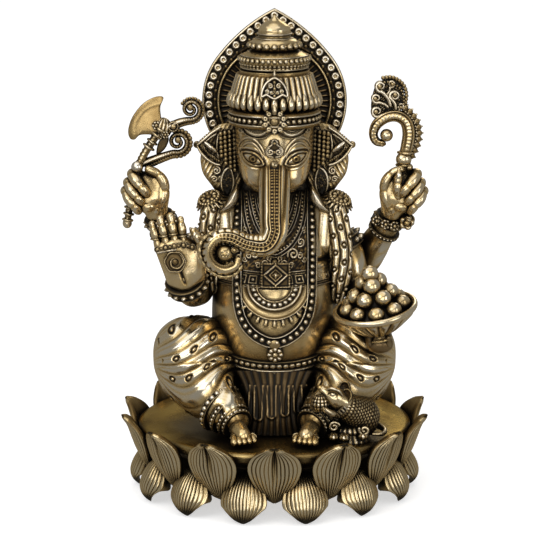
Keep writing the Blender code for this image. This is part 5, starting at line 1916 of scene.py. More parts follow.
@dataclass
class Halo(SubAssembly):
    """The pointed halo behind the crown, and the screw that holds it."""

    centre_z: float = 205.0
    front: float = 25.2
    back: float = 29.2
    inner_radius: float = 30.0
    foot_angle: float = -28.0

    def build(self) -> None:
        """Makes the plate, its beads and rims, and the screw."""
        # The plate wears the darker copy of the brass, as painted shade behind the head.
        self.piece("halo_plate", self.plate(), Metal.SHADED, ["halo"])
        self.piece("halo_rims", self.rim_lines(), Metal.CHASED)
        self.piece("halo_beads", self.bead_rows(), Metal.CHASED)
        self.piece("halo_screw_slotted", self.screw(), Metal.STEEL, ["halo_screw"])

    def edge(self, angle: Array) -> Array:
        """The outer radius at an angle from +X: round below, drawn out to a point at the top."""
        up = np.degrees(np.arctan2(np.sin(angle), np.abs(np.cos(angle))))
        side = 38.7 + 10.8 * np.clip((up - 35) / 55, 0, 1) ** 2.2
        return np.where(up < -28, np.interp(up, [-90, -75, -52, -40, -28], [29.6, 31, 29.5, 29.0, 38.4]),
                        side)

    def plate(self) -> Shell:
        """The plate in polar steps: a recessed ribbed field, then the border; rays behind."""
        angle = np.linspace(0, TURN, 620, endpoint=False)[None]
        share = np.r_[0.02, np.linspace(0.05, 1, 89)][:, None]
        radius = share * self.edge(angle)
        x, z = radius * np.cos(angle), self.centre_z + radius * np.sin(angle)
        field = 1 - step(self.inner_radius - 1, self.inner_radius + 0.5, radius)
        ribs = 0.8 * np.abs(np.cos(30 * angle)) ** 5 * step(8, 18, radius)
        rise = -1.3 * field + ribs * field + 0.25 * np.sin(2.2 * radius) * (1 - field)
        fall = np.sqrt(np.maximum(1 - share**14, 0)) + 0 * angle
        middle, thick = (self.front + self.back) / 2, (self.back - self.front) / 2
        rays = (0.5 * np.abs(np.cos(24 * angle)) ** 2 * step(6, 14, radius) * (1 - step(36, 38, radius))
                + 0.7 * bell(radius - 0.9 * self.edge(angle), 0.8))
        near = np.stack([x, middle - (thick + rise) * fall, z], axis=-1)
        far = np.stack([x, middle + (thick - 0.5 + rays) * fall, z], axis=-1)[::-1][1:]
        # The front's flat ground is near full patina: patina in the recessed field and painted shade over the
        # rest.
        patina = np.vstack([recess(rise, 4, 0.5, 0.85), recess(rays, 4, 0.5, 0.35)[::-1][1:]])
        return grid(np.concatenate([near, far]), patina)

    def outline(self, inset: float, count: int) -> Array:
        """Points along the border from one foot over the top to the other, at an inset from the edge."""
        angle = np.radians(np.linspace(self.foot_angle, 180 - self.foot_angle, 1200))
        radius = self.edge(angle) - inset
        path = np.stack([radius * np.cos(angle), 0 * angle + self.front,
                         self.centre_z + radius * np.sin(angle)], axis=-1)
        run = lengths(path)
        places = np.linspace(0, run[-1], count)
        return np.column_stack([np.interp(places, run, column) for column in path.T])

    def rim_lines(self) -> list[Shell]:
        """The raised wire at the edge, and one round the inner field."""
        made = [tube(self.outline(0.8, 300), 0.8, 12, (0, 1, 0), patina=0.08)]
        angle = np.radians(np.linspace(-44, 224, 260))
        path = np.stack([30 * np.cos(angle), 0 * angle + self.front - 0.2,
                         self.centre_z + 30 * np.sin(angle)], axis=-1)
        made.append(tube(path, 0.75, 12, (0, 1, 0), patina=0.2))
        return made

    def bead_rows(self) -> list[Shell]:
        """Large domed beads, each in a ring with a dimple, and small ones between them further in."""
        big = self.outline(3.7, 31)
        made = []
        for place in big:
            made.append(disc(place, (0, -1, 0), 2.45, lambda r, t: 2.1 * (1 - r**2) ** 0.5
                             - 1.3 * bell(r, 0.42) + 0.5 * bell(r, 0.14), 20, 40, ground=0.10, depth=0.4))
        small = self.outline(6.9, 61)[1::2] + [0, -0.4, 0]
        made.append(beads(small, 0.95, 0.15))
        return made

    def screw(self) -> list[Shell]:
        """The slotted screw: a domed head behind the plate and a threaded shank into the head."""
        shank = lathe([(0.02, 0.0), (1.2, 0.0), (1.45, 0.4), (1.45, 11.6), (0.02, 11.6)], 120, 28,
                      lambda s, turn: -0.2 * np.abs(nearest(s - 0.5 * turn / TURN, 0.5)) * 4, reach=1,
                      finest=THREAD_CELL)
        cap = lathe([(0.02, 0.0), (2.0, 0.0), (2.8, 0.5), (2.9, 1.2), (2.2, 2.0), (0.9, 2.4), (0.02, 2.45)],
                    60, 64, finest=2 * THREAD_CELL)
        cap.points[:, 2] = np.where((np.abs(cap.points[:, 0]) < 0.4) & (cap.points[:, 2] > 0.9), 0.9,
                                    cap.points[:, 2])
        return [Shell(turned_about(part.points, "x", 90) * [1, -1, 1] + [0, start, 182],
                      part.quads[:, ::-1], part.triangles[:, ::-1], part.patina) for part,
                start in ((shank, 19.4), (cap, self.back))]


# Arms and hands -----------------------------------------------------------------------------------


@dataclass
class Arms(SubAssembly):
    """Four arms with bracelets and armlets, the hands, the shawl on both shoulders, and the epaulettes."""

    rear: tuple[tuple[float, float, float, float], ...] = ((22, 18, 140, 8), (36, 19, 129, 8.8),
        (47.4, 16.5, 119.4, 8.4), (54, 11.5, 130.5, 7.8), (58.6, 7, 139, 6.6), (61.8, 3.5, 147, 5.8),
        (62.6, 1.6, 151, 6.2))
    front_right: tuple[tuple[float, float, float, float], ...] = ((-26, 4, 144, 9), (-36, 1, 128, 9.4),
        (-39, -1, 112, 9), (-42.5, -12, 108.6, 8), (-45.4, -21.5, 114.5, 7.4), (-47.4, -24.5, 120, 7.0))
    front_left: tuple[tuple[float, float, float, float], ...] = ((26, 4, 144, 9), (37, 2, 128, 9.4),
        (43, 0, 112, 8.6), (48, -12, 103, 7), (52.4, -22.5, 95.6, 5.6), (53.6, -27, 92.5, 5.4))

    def build(self) -> None:
        """Makes everything from the shoulders out."""
        for name, side in (("rear_right_arm", -1.0), ("rear_left_arm", 1.0)):
            stations = [(side * x, y, z, r) for x, y, z, r in self.rear]
            limb = Limb(stations, (0, 0, 1), 120)
            self.piece(f"{name}_skin", [limb.skin(56, self.muscle, 1.0, patina=0.1), self.fist(side)],
                       Metal.SMOOTH, [name])
            self.piece(f"{name}_fingers", self.rear_fingers(side), Metal.SMOOTH)
            self.piece(f"{name}_bracelets", [limb.hoop(0.90, 0.9, 2.4, self.bracelet(2.4, 3.6)),
                limb.hoop(0.27, 0.9, 2.8, self.bracelet(2.8, 4.2)),
                limb.hoop(0.80, 0.7, 1.1, self.bracelet(1.1, 1.9)), *self.cuff(side)], Metal.CHASED)
        for name, stations in (("front_right_arm", self.front_right), ("front_left_arm", self.front_left)):
            limb = Limb(stations, (1, 0, 0), 120)
            self.piece(f"{name}_skin", limb.skin(56, self.muscle, 1.0, patina=0.1), Metal.SMOOTH, [name])
            hoops = [limb.hoop(0.24, 1.2, 3.0, self.bracelet(3.0, 4.4))]
            if name == "front_right_arm":
                hoops.append(limb.hoop(0.93, 2.2, 3.2, self.bracelet(3.2, 3.9), tip=-6))
                self.piece("open_hand", self.open_hand(), Metal.SMOOTH)
                self.piece("open_hand_jewels", self.hand_jewels(), Metal.CHASED)
            else:
                hoops.append(limb.hoop(0.70, 0.9, 2.3, self.bracelet(2.3, 3.2)))
                # The hand under the bowl wears the darker copy of the brass, as painted shade.
                self.piece("bowl_hand", self.bowl_hand(), Metal.SHADED)
            self.piece(f"{name}_bracelets", hoops, Metal.CHASED)
        self.piece("left_shawl", self.shawl([(31.6, -3, 154.5, 4.2), (33.4, -6, 147, 5.2),
            (34.6, -8, 136, 5.6), (34.8, -9.5, 123, 5.6), (34.0, -11, 112, 4.8), (32.8, -12, 105, 3.0)]),
            Metal.CHASED)
        self.piece("right_shawl", self.shawl([(-31.6, -3, 154.5, 4.2), (-33.4, -5.5, 148, 5.2),
            (-34.8, -7, 138, 5.4), (-35, -8, 127, 5.2), (-34, -10, 117, 4.4), (-32.8, -11, 110, 2.8)]),
            Metal.CHASED)
        self.piece("epaulettes", both(self.epaulette()), Metal.CHASED)
        shoulder, _, _ = blended((26, -2, 142), (0, 0, 1), [Lobe((27, 1, 150), (25.5, -3, 133), 8.0, 8.0)],
                                 1.0, 60, 90)
        self.piece("shoulders", both([grid(shoulder, 0.02)]), Metal.SMOOTH)

    @staticmethod
    def muscle(s: Array, angle: Array) -> Array:
        """Slight swellings along an arm."""
        return 0.35 * np.sin(0.19 * s) * np.cos(2 * angle) + 0.12 * np.sin(0.5 * s + 3 * angle)

    @staticmethod
    def bracelet(half: float, pitch: float) -> Height:
        """A bracelet's relief: double rims, then square frames and studs between them."""
        def height(s: Array, w: Array) -> Array:
            """The relief from distance round and w."""
            inside = np.abs(w) < 0.62
            studs = dome(np.hypot(nearest(s, pitch), w * half) / 0.34, 1.0 * pitch) * 0.55
            return (0.35 + 1.0 * rims(w, 0.88, 0.11) + (studs
                + 0.5 * squares(s, w * half, pitch, 0.36 * pitch)) * inside)
        return height

    @staticmethod
    def finger(places: Sequence[Sequence[float]], thick: Sequence[float], joints: float,
               across: Sequence[float] = (0, 1, 0)) -> Shell:
        """One finger.

        Args:
            places: its middle line.
            thick: its radii along the line.
            joints: the distance between its creases.
            across: a direction that it never runs along.

        Returns:
            A bar with soft joints and creases cut round it.
        """
        path = spline(places, 60)
        radius = np.interp(np.linspace(0, 1, 60), np.linspace(0, 1, len(thick)), thick)
        return tube(path, radius, 22, across, 1.0, lambda s, a: -0.26
                    * bell(nearest(s - 0.5 * joints, joints), 0.5) + 0.14 * np.cos(TURN * s / joints),
                    patina=0.1, reach=3, depth=0.9)

    def cuff(self, side: float) -> list[Shell]:
        """The row of flowers on a rear wrist's cuff, front and back."""
        made = []
        for x, y, z, way in ((54.0, -0.6, 144.8, -1), (58.6, -3.2, 143.4, -1), (63.4, -3.4, 142.6, -1),
                             (55.0, 12.0, 144.8, 1), (60.4, 11.6, 143.6, 1)):
            made.append(disc((side * x, y, z), unit(np.array([side * 0.2, way, 0.0])), 2.9,
                             flower(7, 0.4, 1.2), 20, 56, scalloped(7), 3.5))
        return made

    def fist(self, side: float) -> Shell:
        """The body of a rear hand: heel, palm and the mound of the thumb melted together."""
        bars = [Lobe((62.5, 0.5, 150), (63.5, 0, 158), 6.0, 6.6),
                Lobe((63, -0.5, 158), (67.5, -0.5, 167), 6.2, 4.6),
                Lobe((61.2, -2, 156), (60.6, -2, 167), 3.8, 3.4),
                Lobe((68, -3.5, 154), (70, -3, 159), 4.0, 4.2)]
        points, _, _ = blended((64.2, -0.5, 159), (0.1, 0, 1), bars, 1.3, 70, 90)
        shell = grid(points, 0.12)
        return mirrored(shell) if side < 0 else shell

    def rear_fingers(self, side: float) -> list[Shell]:
        """The fingers of a rear hand: three bars folded over the shaft, and the long side of the thumb.

        Args:
            side: -1 for the hand with the axe, 1 for the hand with the goad.

        Returns:
            The fingers, mirrored for the side at -X.
        """
        made = []
        for index, (dx, dz) in enumerate(((0.0, 0.0), (2.9, -4.6), (4.8, -9.0))):
            thick = 2.75 - 0.15 * index
            line = [(70.5 + dx, 2.5, 168.6 + dz), (74.6 + 0.8 * dx, -1.5, 170.4 + dz),
                    (74.4 + 0.8 * dx, -5.6, 169.6 + dz), (71.6 + dx, -8.2, 166.4 + dz),
                    (68.4 + dx, -8.4, 162.6 + dz), (66.8 + dx, -6.2, 160.2 + dz)]
            line = [(min(x, 81.4 - thick - 0.4), y, z) for x, y, z in line]
            made.append(self.finger(line, [thick, thick, thick, 1.05 * thick, 0.9 * thick], 8.2,
                                    (0.35, 0.2, 1)))
        made.append(self.finger([(61.8, -3, 152.5), (58.8, -3.2, 158.5), (58.4, -3.4, 165),
                                 (61.4, -4.2, 170.6), (66.2, -5.0, 173.2)], [4.0, 3.5, 3.1, 2.7, 2.1], 9.5,
                                (0, 1, 0)))
        made.append(oval((66.6, -5.6, 153.6), (4.4, 3.4, 3.0), 20, 30, 0.1))
        if side > 0:
            made.append(self.finger([(64.8, -6.5, 159.5), (64.6, -8.0, 165.5), (65.2, -7.4, 171.2),
                (65.4, -6.6, 173.6)], [2.5, 2.6, 2.2, 1.1], 6.4))
            made.append(oval((65.1, -9.6, 170.2), (1.4, 0.7, 2.2), 12, 18, 0.02))
            return made
        return [mirrored(shell) for shell in made]

    def open_hand(self) -> list[Shell]:
        """The raised right hand with its palm forward, four fingers up and the thumb beside them."""
        bars = [Lobe((-51.6, -25.4, 119.5), (-57.6, -26.6, 135.5), 5.0, 4.6),
                Lobe((-46.5, -26, 117.5), (-51.5, -27, 137), 6.0, 5.0),
                Lobe((-41.8, -25.6, 121), (-46.2, -26.6, 137), 5.2, 4.6),
                Lobe((-40.4, -26, 124), (-39.2, -27.6, 135), 4.6, 3.4)]
        points, _, _ = blended((-48, -26, 127.5), (-0.2, 0, 1), bars, 1.4, 110, 130)
        x, z = points[..., 0], points[..., 2]
        crease = (bell((x + 48.6 + 0.36 * (z - 124)) / 0.8, 1.0) * step(116, 119, z)
                  * (1 - step(125, 127, z)) * (points[..., 1] < -26))
        points = points + grid_normals(points) * (-0.9 * crease)[..., None]
        made = [grid(points, np.clip(0.1 + 0.9 * crease, 0, 1))]
        for low, high, thick in (((-59.0, -27.2, 132.5), (-63.4, -26.6, 148.2), 2.2),
                                 ((-54.9, -28.0, 134), (-59.2, -27.6, 151.4), 2.35),
                                 ((-50.5, -28.2, 135), (-53.9, -27.8, 152.6), 2.4),
                                 ((-46.2, -28.0, 135), (-48.6, -27.6, 150.8), 2.3)):
            a, b = np.array(low), np.array(high)
            made.append(self.finger([a, a + (b - a) * 0.35 + [0, -0.5, 0], a + (b - a) * 0.7 + [0, -0.7, 0],
                b], [thick, thick, 0.96 * thick, 0.8 * thick], 6.8))
            made.append(oval(b + [0, 1.5, -1.2], (1.3, 0.9, 1.9), 10, 16, 0.05))
        made.append(self.finger([(-39.6, -27, 127), (-38.3, -28.6, 133.5), (-38.8, -29.6, 139.6),
                                 (-41.8, -29.8, 145.0)], [3.8, 3.2, 2.7, 2.0], 6.6))
        made.append(oval((-41.2, -31.6, 143.2), (1.2, 0.6, 1.9), 10, 16, 0.03))
        return made

    def hand_jewels(self) -> list[Shell]:
        """The open hand's jewels: settings over the knuckles, finger rings, and a spiral in the palm."""
        palm = np.array([-51.4, -32.6, 129.4])
        facing = unit(np.array([-0.08, -1.0, 0.12]))
        made = [disc(palm, facing, 5.9, lambda r, t: 0.4 + 1.0 * bell(r - 0.92, 0.07)
                     + 1.1 * bell(np.sin(0.5 * (t - 8.5 * r)), 0.42) * (r > 0.3) * (r < 0.84)
                     + 1.5 * np.sqrt(np.clip(1 - (r / 0.28) ** 2, 0, 1)), 34, 96, scalloped(6, 0.10),
                     depth=0.5, ground=0.42)]
        chain = spline([(-60.6, -29.8, 135.4), (-56.4, -31.4, 136.6), (-51.6, -31.9, 137.6),
                        (-46.6, -31.6, 138.0), (-42.6, -30.8, 136.8)], 9)
        for index, place in enumerate(chain):
            size = 1.9 if index % 2 == 0 else 1.35
            made.append(disc(place, facing, size, lambda r, t: 1.1
                             * np.sqrt(np.clip(1 - (r / 0.6) ** 2, 0, 1)) + 0.7 * bell(r - 0.88, 0.1), 12,
                             28))
        links = spline([(-49.6, -31.8, 134.6), (-47.4, -31.6, 131.5), (-44.4, -30.8, 129.6),
                        (-42.0, -30.4, 132.8), (-40.6, -30.6, 135.4)], 12)
        made.append(beads(links, 0.85, 0.1))
        path = spline([(-60.8, -30.0, 133.6), (-56.0, -31.4, 134.8), (-51.0, -31.9, 135.8)], 40)
        made.append(tube(path, 0.7, 8, (0, 1, 0), patina=0.03))
        for x, y, z in ((-61.4, -27.0, 140.6), (-57.2, -28.4, 142.6), (-52.4, -28.8, 143.6),
                        (-47.5, -28.5, 142.6)):
            around = np.array([(2.7, 0, 0.3), (0, -2.7, 0), (-2.7, 0, -0.3), (0, 2.7, 0)]) + [x, y, z]
            made.append(tube(ring(around, 30), 0.5, 8, (0, 0, 1), loop=True, patina=0.12))
        return made

    def bowl_hand(self) -> list[Shell]:
        """The hand under the bowl: a flat palm, and four fingers whose tips turn up against the foot."""
        bars = [Lobe((53.6, -26, 92.4), (54.4, -40, 87.6), 5.4, 4.6),
                Lobe((50.4, -30, 90.6), (51.4, -40, 87.4), 3.6, 3.4),
                Lobe((57.4, -30, 90.4), (58.0, -40, 87.4), 3.6, 3.4)]
        points, _, _ = blended((54.2, -34, 89.6), (0, -1, 0), bars, 1.2, 60, 70)
        made = [grid(points, 0.2)]
        for index in range(4):
            x = 49.4 + 3.2 * index
            made.append(self.finger([(x, -34, 88.0), (x, -40, 86.6), (x - 0.2, -43.4, 89.0),
                (x - 0.4, -44.4, 92.0)], [1.8, 1.8, 1.6, 1.3], 5.4, (1, 0, 0)))
        return made

    def shawl(self, stations: Sequence[Sequence[float]]) -> Shell:
        """The cloth that falls from one shoulder: long folds with a row of ringed dots on each."""
        limb = Limb(stations, (0, 1, 0), 260)
        line = limb.line
        run = lengths(line)

        def relief(s: Array, angle: Array) -> Array:
            """The folds and dots from distance and angle."""
            radius = np.interp(s, run, line[:, 3])
            bent = angle + 0.16 * np.sin(0.16 * s)
            folds = 1.5 * np.abs(np.sin(3.5 * bent)) ** 0.6
            index = np.round((3.5 * bent - math.pi / 2) / math.pi)
            across = (3.5 * bent - math.pi / 2 - math.pi * index) / 3.5 * radius
            away = np.hypot(nearest(s + 4.0 * index, 9.0), across)
            return folds - 0.9 * bell(away - 1.2, 0.40) + 0.4 * bell(away, 0.4) - 0.7

        return limb.skin(150, relief, 0.72, 5, 0.7, 0.24)

    def epaulette(self) -> list[Shell]:
        """The left shoulder's round ornament: a big flower over a ring of beads and a frill of leaves."""
        centre, facing = np.array([34.6, -2.0, 157.6]), unit(np.array([0.36, -0.42, 0.84]))
        side, up, _ = facing_axes(facing)
        turn = np.linspace(0, TURN, 20, endpoint=False)[:, None]
        around = centre + 5.5 * (np.cos(turn) * side + np.sin(turn) * up) - 0.2 * facing
        made = [disc(centre, facing, 4.9, flower(9, 0.36, 1.25), 26, 90, scalloped(9), 3.0, 0.5),
                beads(around, 0.95, 0.1, 1.0, np.broadcast_to(facing, around.shape))]
        made.append(disc(centre - 1.0 * facing, facing, 7.0,
                         lambda r, t: 0.5 + 0.6 * np.abs(np.sin(11 * t)) * step(0.7, 0.95, r), 22, 132,
                         scalloped(22, 0.10), 4.0, 0.6))
        for angle in np.radians(np.arange(0, 360, 20)):
            way = math.cos(angle) * side + math.sin(angle) * up
            made.append(tube(np.linspace(centre + 5.8 * way - 1.5 * facing,
                centre + 8.4 * way - 3.6 * facing, 8), np.linspace(1.15, 0.4, 8), 8, facing, patina=0.1))
        return made


# What the hands hold ------------------------------------------------------------------------------


@dataclass
class Axe(SubAssembly):
    """The axe: a beaded shaft, a smooth fan blade, a socket of rings and two scrolls with knobbed edges."""

    shaft_line: tuple[tuple[float, float, float], ...] = ((-77.8, -3.0, 143.8), (-76.4, -3.0, 152),
        (-74.4, -3.0, 163), (-71.8, -3.0, 173.4), (-68.8, -2.0, 180), (-64.0, -1.0, 187.6),
        (-59.2, -1.0, 194.6))

    def build(self) -> None:
        """Makes the parts of the axe."""
        self.piece("axe_shaft", self.shaft(), Metal.CHASED, ["axe"])
        self.piece("axe_blade", self.blade(), Metal.SMOOTH)
        self.piece("axe_scrolls", self.scrolls(), Metal.CHASED)

    def shaft(self) -> list[Shell]:
        """The shaft with its pommel, the knob above the fist and the socket at the head."""
        path = spline(self.shaft_line, 420)
        bar = tube(path, np.linspace(1.75, 2.1, 420), 24, (0, 1, 0), 1.0,
                   lambda s, a: 0.45 * bell(np.hypot(nearest(s, 2.2), nearest(a, TURN / 5) * 1.9), 0.55),
                   patina=0.25, depth=0.4)
        made = [bar, oval(path[2], (2.5, 2.5, 2.8), 20, 28, 0.1),
                oval(path[238] - [0.6, 2.0, 0], (3.2, 3.0, 3.2), 24, 32, 0.03)]
        for share, size in ((0.04, 2.4), (0.10, 2.3), (0.16, 2.4), (0.53, 2.7), (0.78, 2.9), (0.84, 2.5),
                            (0.92, 3.4), (0.985, 3.6)):
            here = int(share * 419)
            run = unit(path[here] - path[here - 1])
            side = np.cross(run, [0, 1, 0])
            hoop = ring([path[here] + size * d for d in (side, np.array([0, 1, 0]), -side,
                np.array([0, -1, 0]))], 40)
            made.append(tube(hoop, 0.75, 10, run, loop=True, patina=0.12))
        for place, size in (((-61.8, -3.4, 196.2), 2.5), ((-57.2, -3.8, 191.4), 2.2),
                            ((-60.4, -3.6, 190.2), 1.7)):
            made.append(disc(place, (0, -1, 0), size, flower(6, 0.4, 0.9), 16, 54, scalloped(6), 3.0))
        made.append(oval((-58.4, -1.0, 194.5), (4.3, 3.2, 5.2), 36, 48, 0.25,
                         lambda tilt, turn: 0.45 * np.abs(np.cos(6 * turn + 2 * tilt))))
        return made

    def blade(self) -> Shell:
        """The fan-shaped blade: flats that thin to the curved edge, and a step near the socket."""
        outline = ring([(-58.0, 0, 211.0), (-62.5, 0, 211.2), (-69.0, 0, 207.6), (-74.6, 0, 200.6),
                        (-77.0, 0, 193.6), (-76.2, 0, 189.0), (-73.6, 0, 188.2), (-70.8, 0, 190.6),
                        (-66.0, 0, 191.0), (-61.0, 0, 190.6), (-58.4, 0, 195.0), (-59.4, 0, 201.0),
                        (-59.6, 0, 206.0)], 260)[:, [0, 2]]

        def face(x: Array, z: Array) -> Array:
            """Thicker at the socket, with a shallow line round it, and thinner towards the edge."""
            away = np.hypot(x + 58, z - 192)
            return 1.1 * (1 - step(3, 15, away)) - 0.1 * bell(away - 14.6, 0.8) - 0.4 * step(15, 19, away)

        return plate(outline, (-66.5, 198.5), -2.1, 0.3, face, face, 70, 0.30, 4, 0.6, 10)

    def scrolls(self) -> list[Shell]:
        """The upper and the lower scroll: tapering bars that end in spirals, with beads along an edge."""
        made = []
        upper = np.vstack([[(-57.0, 194.6), (-53.5, 196.4), (-50, 198.0), (-46.5, 198.9)],
                           curl((-43.9, 204.4), 5.3, 1.2, -96, 1.55, 70)])
        lower = np.vstack([[(-69.6, 175.6), (-63.5, 178.2), (-57.5, 180.4), (-53.4, 181.6)],
                           curl((-50.9, 187.2), 5.6, 1.2, -88, 1.45, 70)])
        for places, thick, knobs, knob_size in ((upper, 1.35, 30, 1.0), (lower, 1.45, 26, 1.35)):
            path = spline([(x, -1.0, z) for x, z in places], 240)
            radius = np.interp(np.linspace(0, 1, 240), [0, 0.3, 0.7, 1],
                               [1.5 * thick, thick, 0.85 * thick, 0.7 * thick])
            made.append(tube(path, radius, 16, (0, 1, 0), 1.2,
                             lambda s, a: 0.45 * bell(nearest(a - 0.25 * TURN, 0.5 * TURN), 0.35),
                             patina=0.2))
            along = unit(np.gradient(path, axis=0))
            outward = -np.cross(along, [0, 1, 0])
            pick = np.linspace(8, 168, knobs).astype(int)
            made.append(beads(path[pick] + outward[pick] * (radius[pick, None] + 0.7), knob_size, 0.10))
            inner = np.linspace(16, 226, 34).astype(int)
            made.append(beads(path[inner] + [0, -1.25 * thick, 0], 0.55, 0.05))
            made.append(beads(path[-1:] + [0, -0.6, 0], 2.0, 0.03))
        made.append(disc((-53.0, -3.0, 195.6), (0, -1, 0), 2.9,
                         lambda r, t: 1.4 * np.sqrt(np.clip(1 - (r / 0.55) ** 2, 0, 1))
                         + 0.7 * bell(r - 0.85, 0.1), 18, 40, sunk=3.5))
        made.append(plate(ring([(-62, 0, 180.4), (-57.4, 0, 183.6), (-55.4, 0, 189.0), (-57.6, 0, 190.8),
                                (-61, 0, 187)], 60)[:, [0, 2]], (-58.8, 186), -1.9, -0.2, rows=10,
                          ground=0.5))
        return made


@dataclass
class Goad(SubAssembly):
    """The hooked goad: a chased hook with a ball at its tip, a knobbed back, a plume and a bud below."""

    hook: tuple[tuple[float, float, float, float], ...] = ((70.2, -1, 150, 2.2), (68.4, -1, 158, 2.4),
        (67.6, -1, 168, 2.6), (67.8, -1, 176.5, 3.0), (69.8, -1, 185, 3.5), (70.6, -1, 192, 3.5),
        (69.0, -1, 198, 3.4), (64.4, -1, 201, 3.3), (58.6, -1, 200.3, 3.1), (53.6, -1, 196.4, 2.8),
        (51.9, -1, 191.5, 2.4), (53.4, -1, 187.6, 2.1), (56.8, -1, 186.4, 1.7))

    def build(self) -> None:
        """Makes the parts of the goad."""
        self.piece("goad_hook", self.hook_bar(), Metal.SMOOTH, ["goad"])
        self.piece("goad_crest", self.crest(), Metal.CHASED)
        self.piece("goad_plume", self.plume(), Metal.CHASED)

    def hook_bar(self) -> list[Shell]:
        """The hook, with two dotted grooves on its face, its ball and the swelling above the hand."""
        limb = Limb(self.hook, (0, 1, 0), 420)
        line = limb.line
        run = lengths(line)

        def relief(s: Array, angle: Array) -> Array:
            """A rimmed strip with dots on the front and the back."""
            radius = np.interp(s, run, line[:, 3])
            across = nearest(angle - 0.75 * TURN, 0.5 * TURN) * radius
            started = step(34, 38, s)
            dots = 0.45 * bell(np.hypot(nearest(s, 1.9), np.abs(across) - 0.9), 0.42)
            return (started * (dots - 0.4 * bell(np.abs(across) - 1.9, 0.3)
                               + 0.3 * bell(np.abs(across) - 2.5, 0.3)))

        made = [limb.skin(40, relief, 1.0, 4, 0.35, 0.12),
                oval((58.8, -1.6, 190.8), (3.4, 3.4, 3.4), 40, 52, 0.04)]
        made.append(oval((67.9, -2.0, 178.0), (4.2, 3.6, 4.0), 34, 46, 0.05))
        made.append(oval((70.6, -1.6, 173.6), (2.4, 2.4, 2.2), 24, 30, 0.05))
        for z, x, size in ((181.6, 68.9, 4.0), (175.0, 67.8, 3.6)):
            hoop = ring([(x + size, -1, z), (x, -1 + size, z), (x - size, -1, z), (x, -1 - size, z)], 46)
            made.append(tube(hoop, 0.7, 8, (0, 0, 1), loop=True, patina=0.1))
        made.append(disc((69.8, -3.6, 144.4), (0.1, -1, -0.1), 4.3, flower(5, 0.4, 1.4), 26, 70,
                         scalloped(5, 0.2), 5.5))
        made.append(oval((69.8, -1.2, 145.6), (4.0, 2.9, 3.0), 24, 40, 0.25,
                         lambda tilt, turn: 0.5 * np.abs(np.cos(2.5 * turn))))
        return made

    def crest(self) -> list[Shell]:
        """The row of pointed knobs on the hook's back, each with a small bead beneath."""
        path = spline([(72.6, -1, 179.6), (75.2, -1, 185.2), (76.4, -1, 191.4), (75.2, -1, 197.6),
                       (72.2, -1, 202.4), (68.8, -1, 205.6)], 10)
        along = unit(np.gradient(path, axis=0))
        outward = unit(np.cross(along, [0, 1, 0]))
        outward = outward * np.sign((outward * (path - [64, -1, 190])).sum(axis=1, keepdims=True))
        made = [beads(path - 0.6 * outward, 1.9, 0.12)]
        for place, way in zip(path, outward):
            made.append(tube(np.linspace(place - way, place + 1.5 * way, 10), np.linspace(1.8, 0.5, 10), 10,
                             (0, 1, 0), patina=0.1))
        ridge = spline([tuple(place - 1.9 * way) for place, way in zip(path, outward)], 120)
        made.append(tube(ridge, 0.8, 10, (0, 1, 0), 2.2, lambda s, a: 0.25 * np.cos(TURN * s / 1.6),
                         patina=0.2))
        return made

    def plume(self) -> list[Shell]:
        """The plume: a whorled ground plate, a fan of scrolls, and beads along its outer edge."""
        outline = ring([(66.0, 0, 203.6), (60.0, 0, 203.2), (52.6, 0, 200.2), (50.4, 0, 204.4),
                        (51.0, 0, 211.4), (53.2, 0, 217.6), (58.6, 0, 220.6), (64.4, 0, 219.8),
                        (67.4, 0, 215.6), (68.0, 0, 209.4)], 140)[:, [0, 2]]
        made = [plate(outline, (59.6, 210.6), -1.4, 0.6, lambda x, z: 0.5 * whorls(x, z, 2.6),
                      lambda x, z: 0.5 * whorls(x, z, 2.6), 26, 0.92, 3, 0.3, 8)]
        for centre, start, first, turns, stem, thick in (
            ((53.8, 203.4), 3.1, -40, -1.35, (60.5, 203.0), 1.15),
            ((53.4, 210.4), 2.5, -60, -1.3, (59.4, 205.6), 1.0),
            ((55.6, 216.6), 2.8, -80, -1.3, (60.8, 206.4), 1.2),
            ((62.9, 211.6), 2.7, 200, -1.35, (63.6, 204.4), 1.15),
            ((61.0, 218.0), 1.9, 250, 1.25, (58.0, 211.5), 0.85),
            ((66.2, 206.4), 1.6, 190, 1.2, (64.6, 203.0), 0.8)):
            spiral = curl(centre, start, 0.7, first, turns, 46)
            middle = 0.5 * (np.array(stem) + spiral[0]) + [0.9, 0.2]
            for depth in (-2.0, 1.0):
                path = spline([(x, depth, z) for x, z in [stem, tuple(middle), *spiral]], 110)
                made.append(tube(path, np.interp(np.linspace(0, 1, 110), [0, 0.35, 1],
                    [0.8 * thick, thick, 0.5 * thick]), 10, (0, 1, 0), 1.0, patina=0.04))
            made.append(beads([(spiral[-1, 0], -2.4, spiral[-1, 1])], 1.2 * thick, 0.02))
        rim = spline([(68.6, -1, 208.0), (69.0, -1, 212.2), (67.8, -1, 216.6), (64.8, -1, 219.8),
                      (60.8, -1, 221.4), (56.8, -1, 221.0)], 13)
        made.append(beads(rim, 1.2, 0.08))
        made.append(beads(rim[1:-1] * [0.972, 1, 0.99] + [0.6, -1.2, -0.3], 0.7, 0.08))
        return made


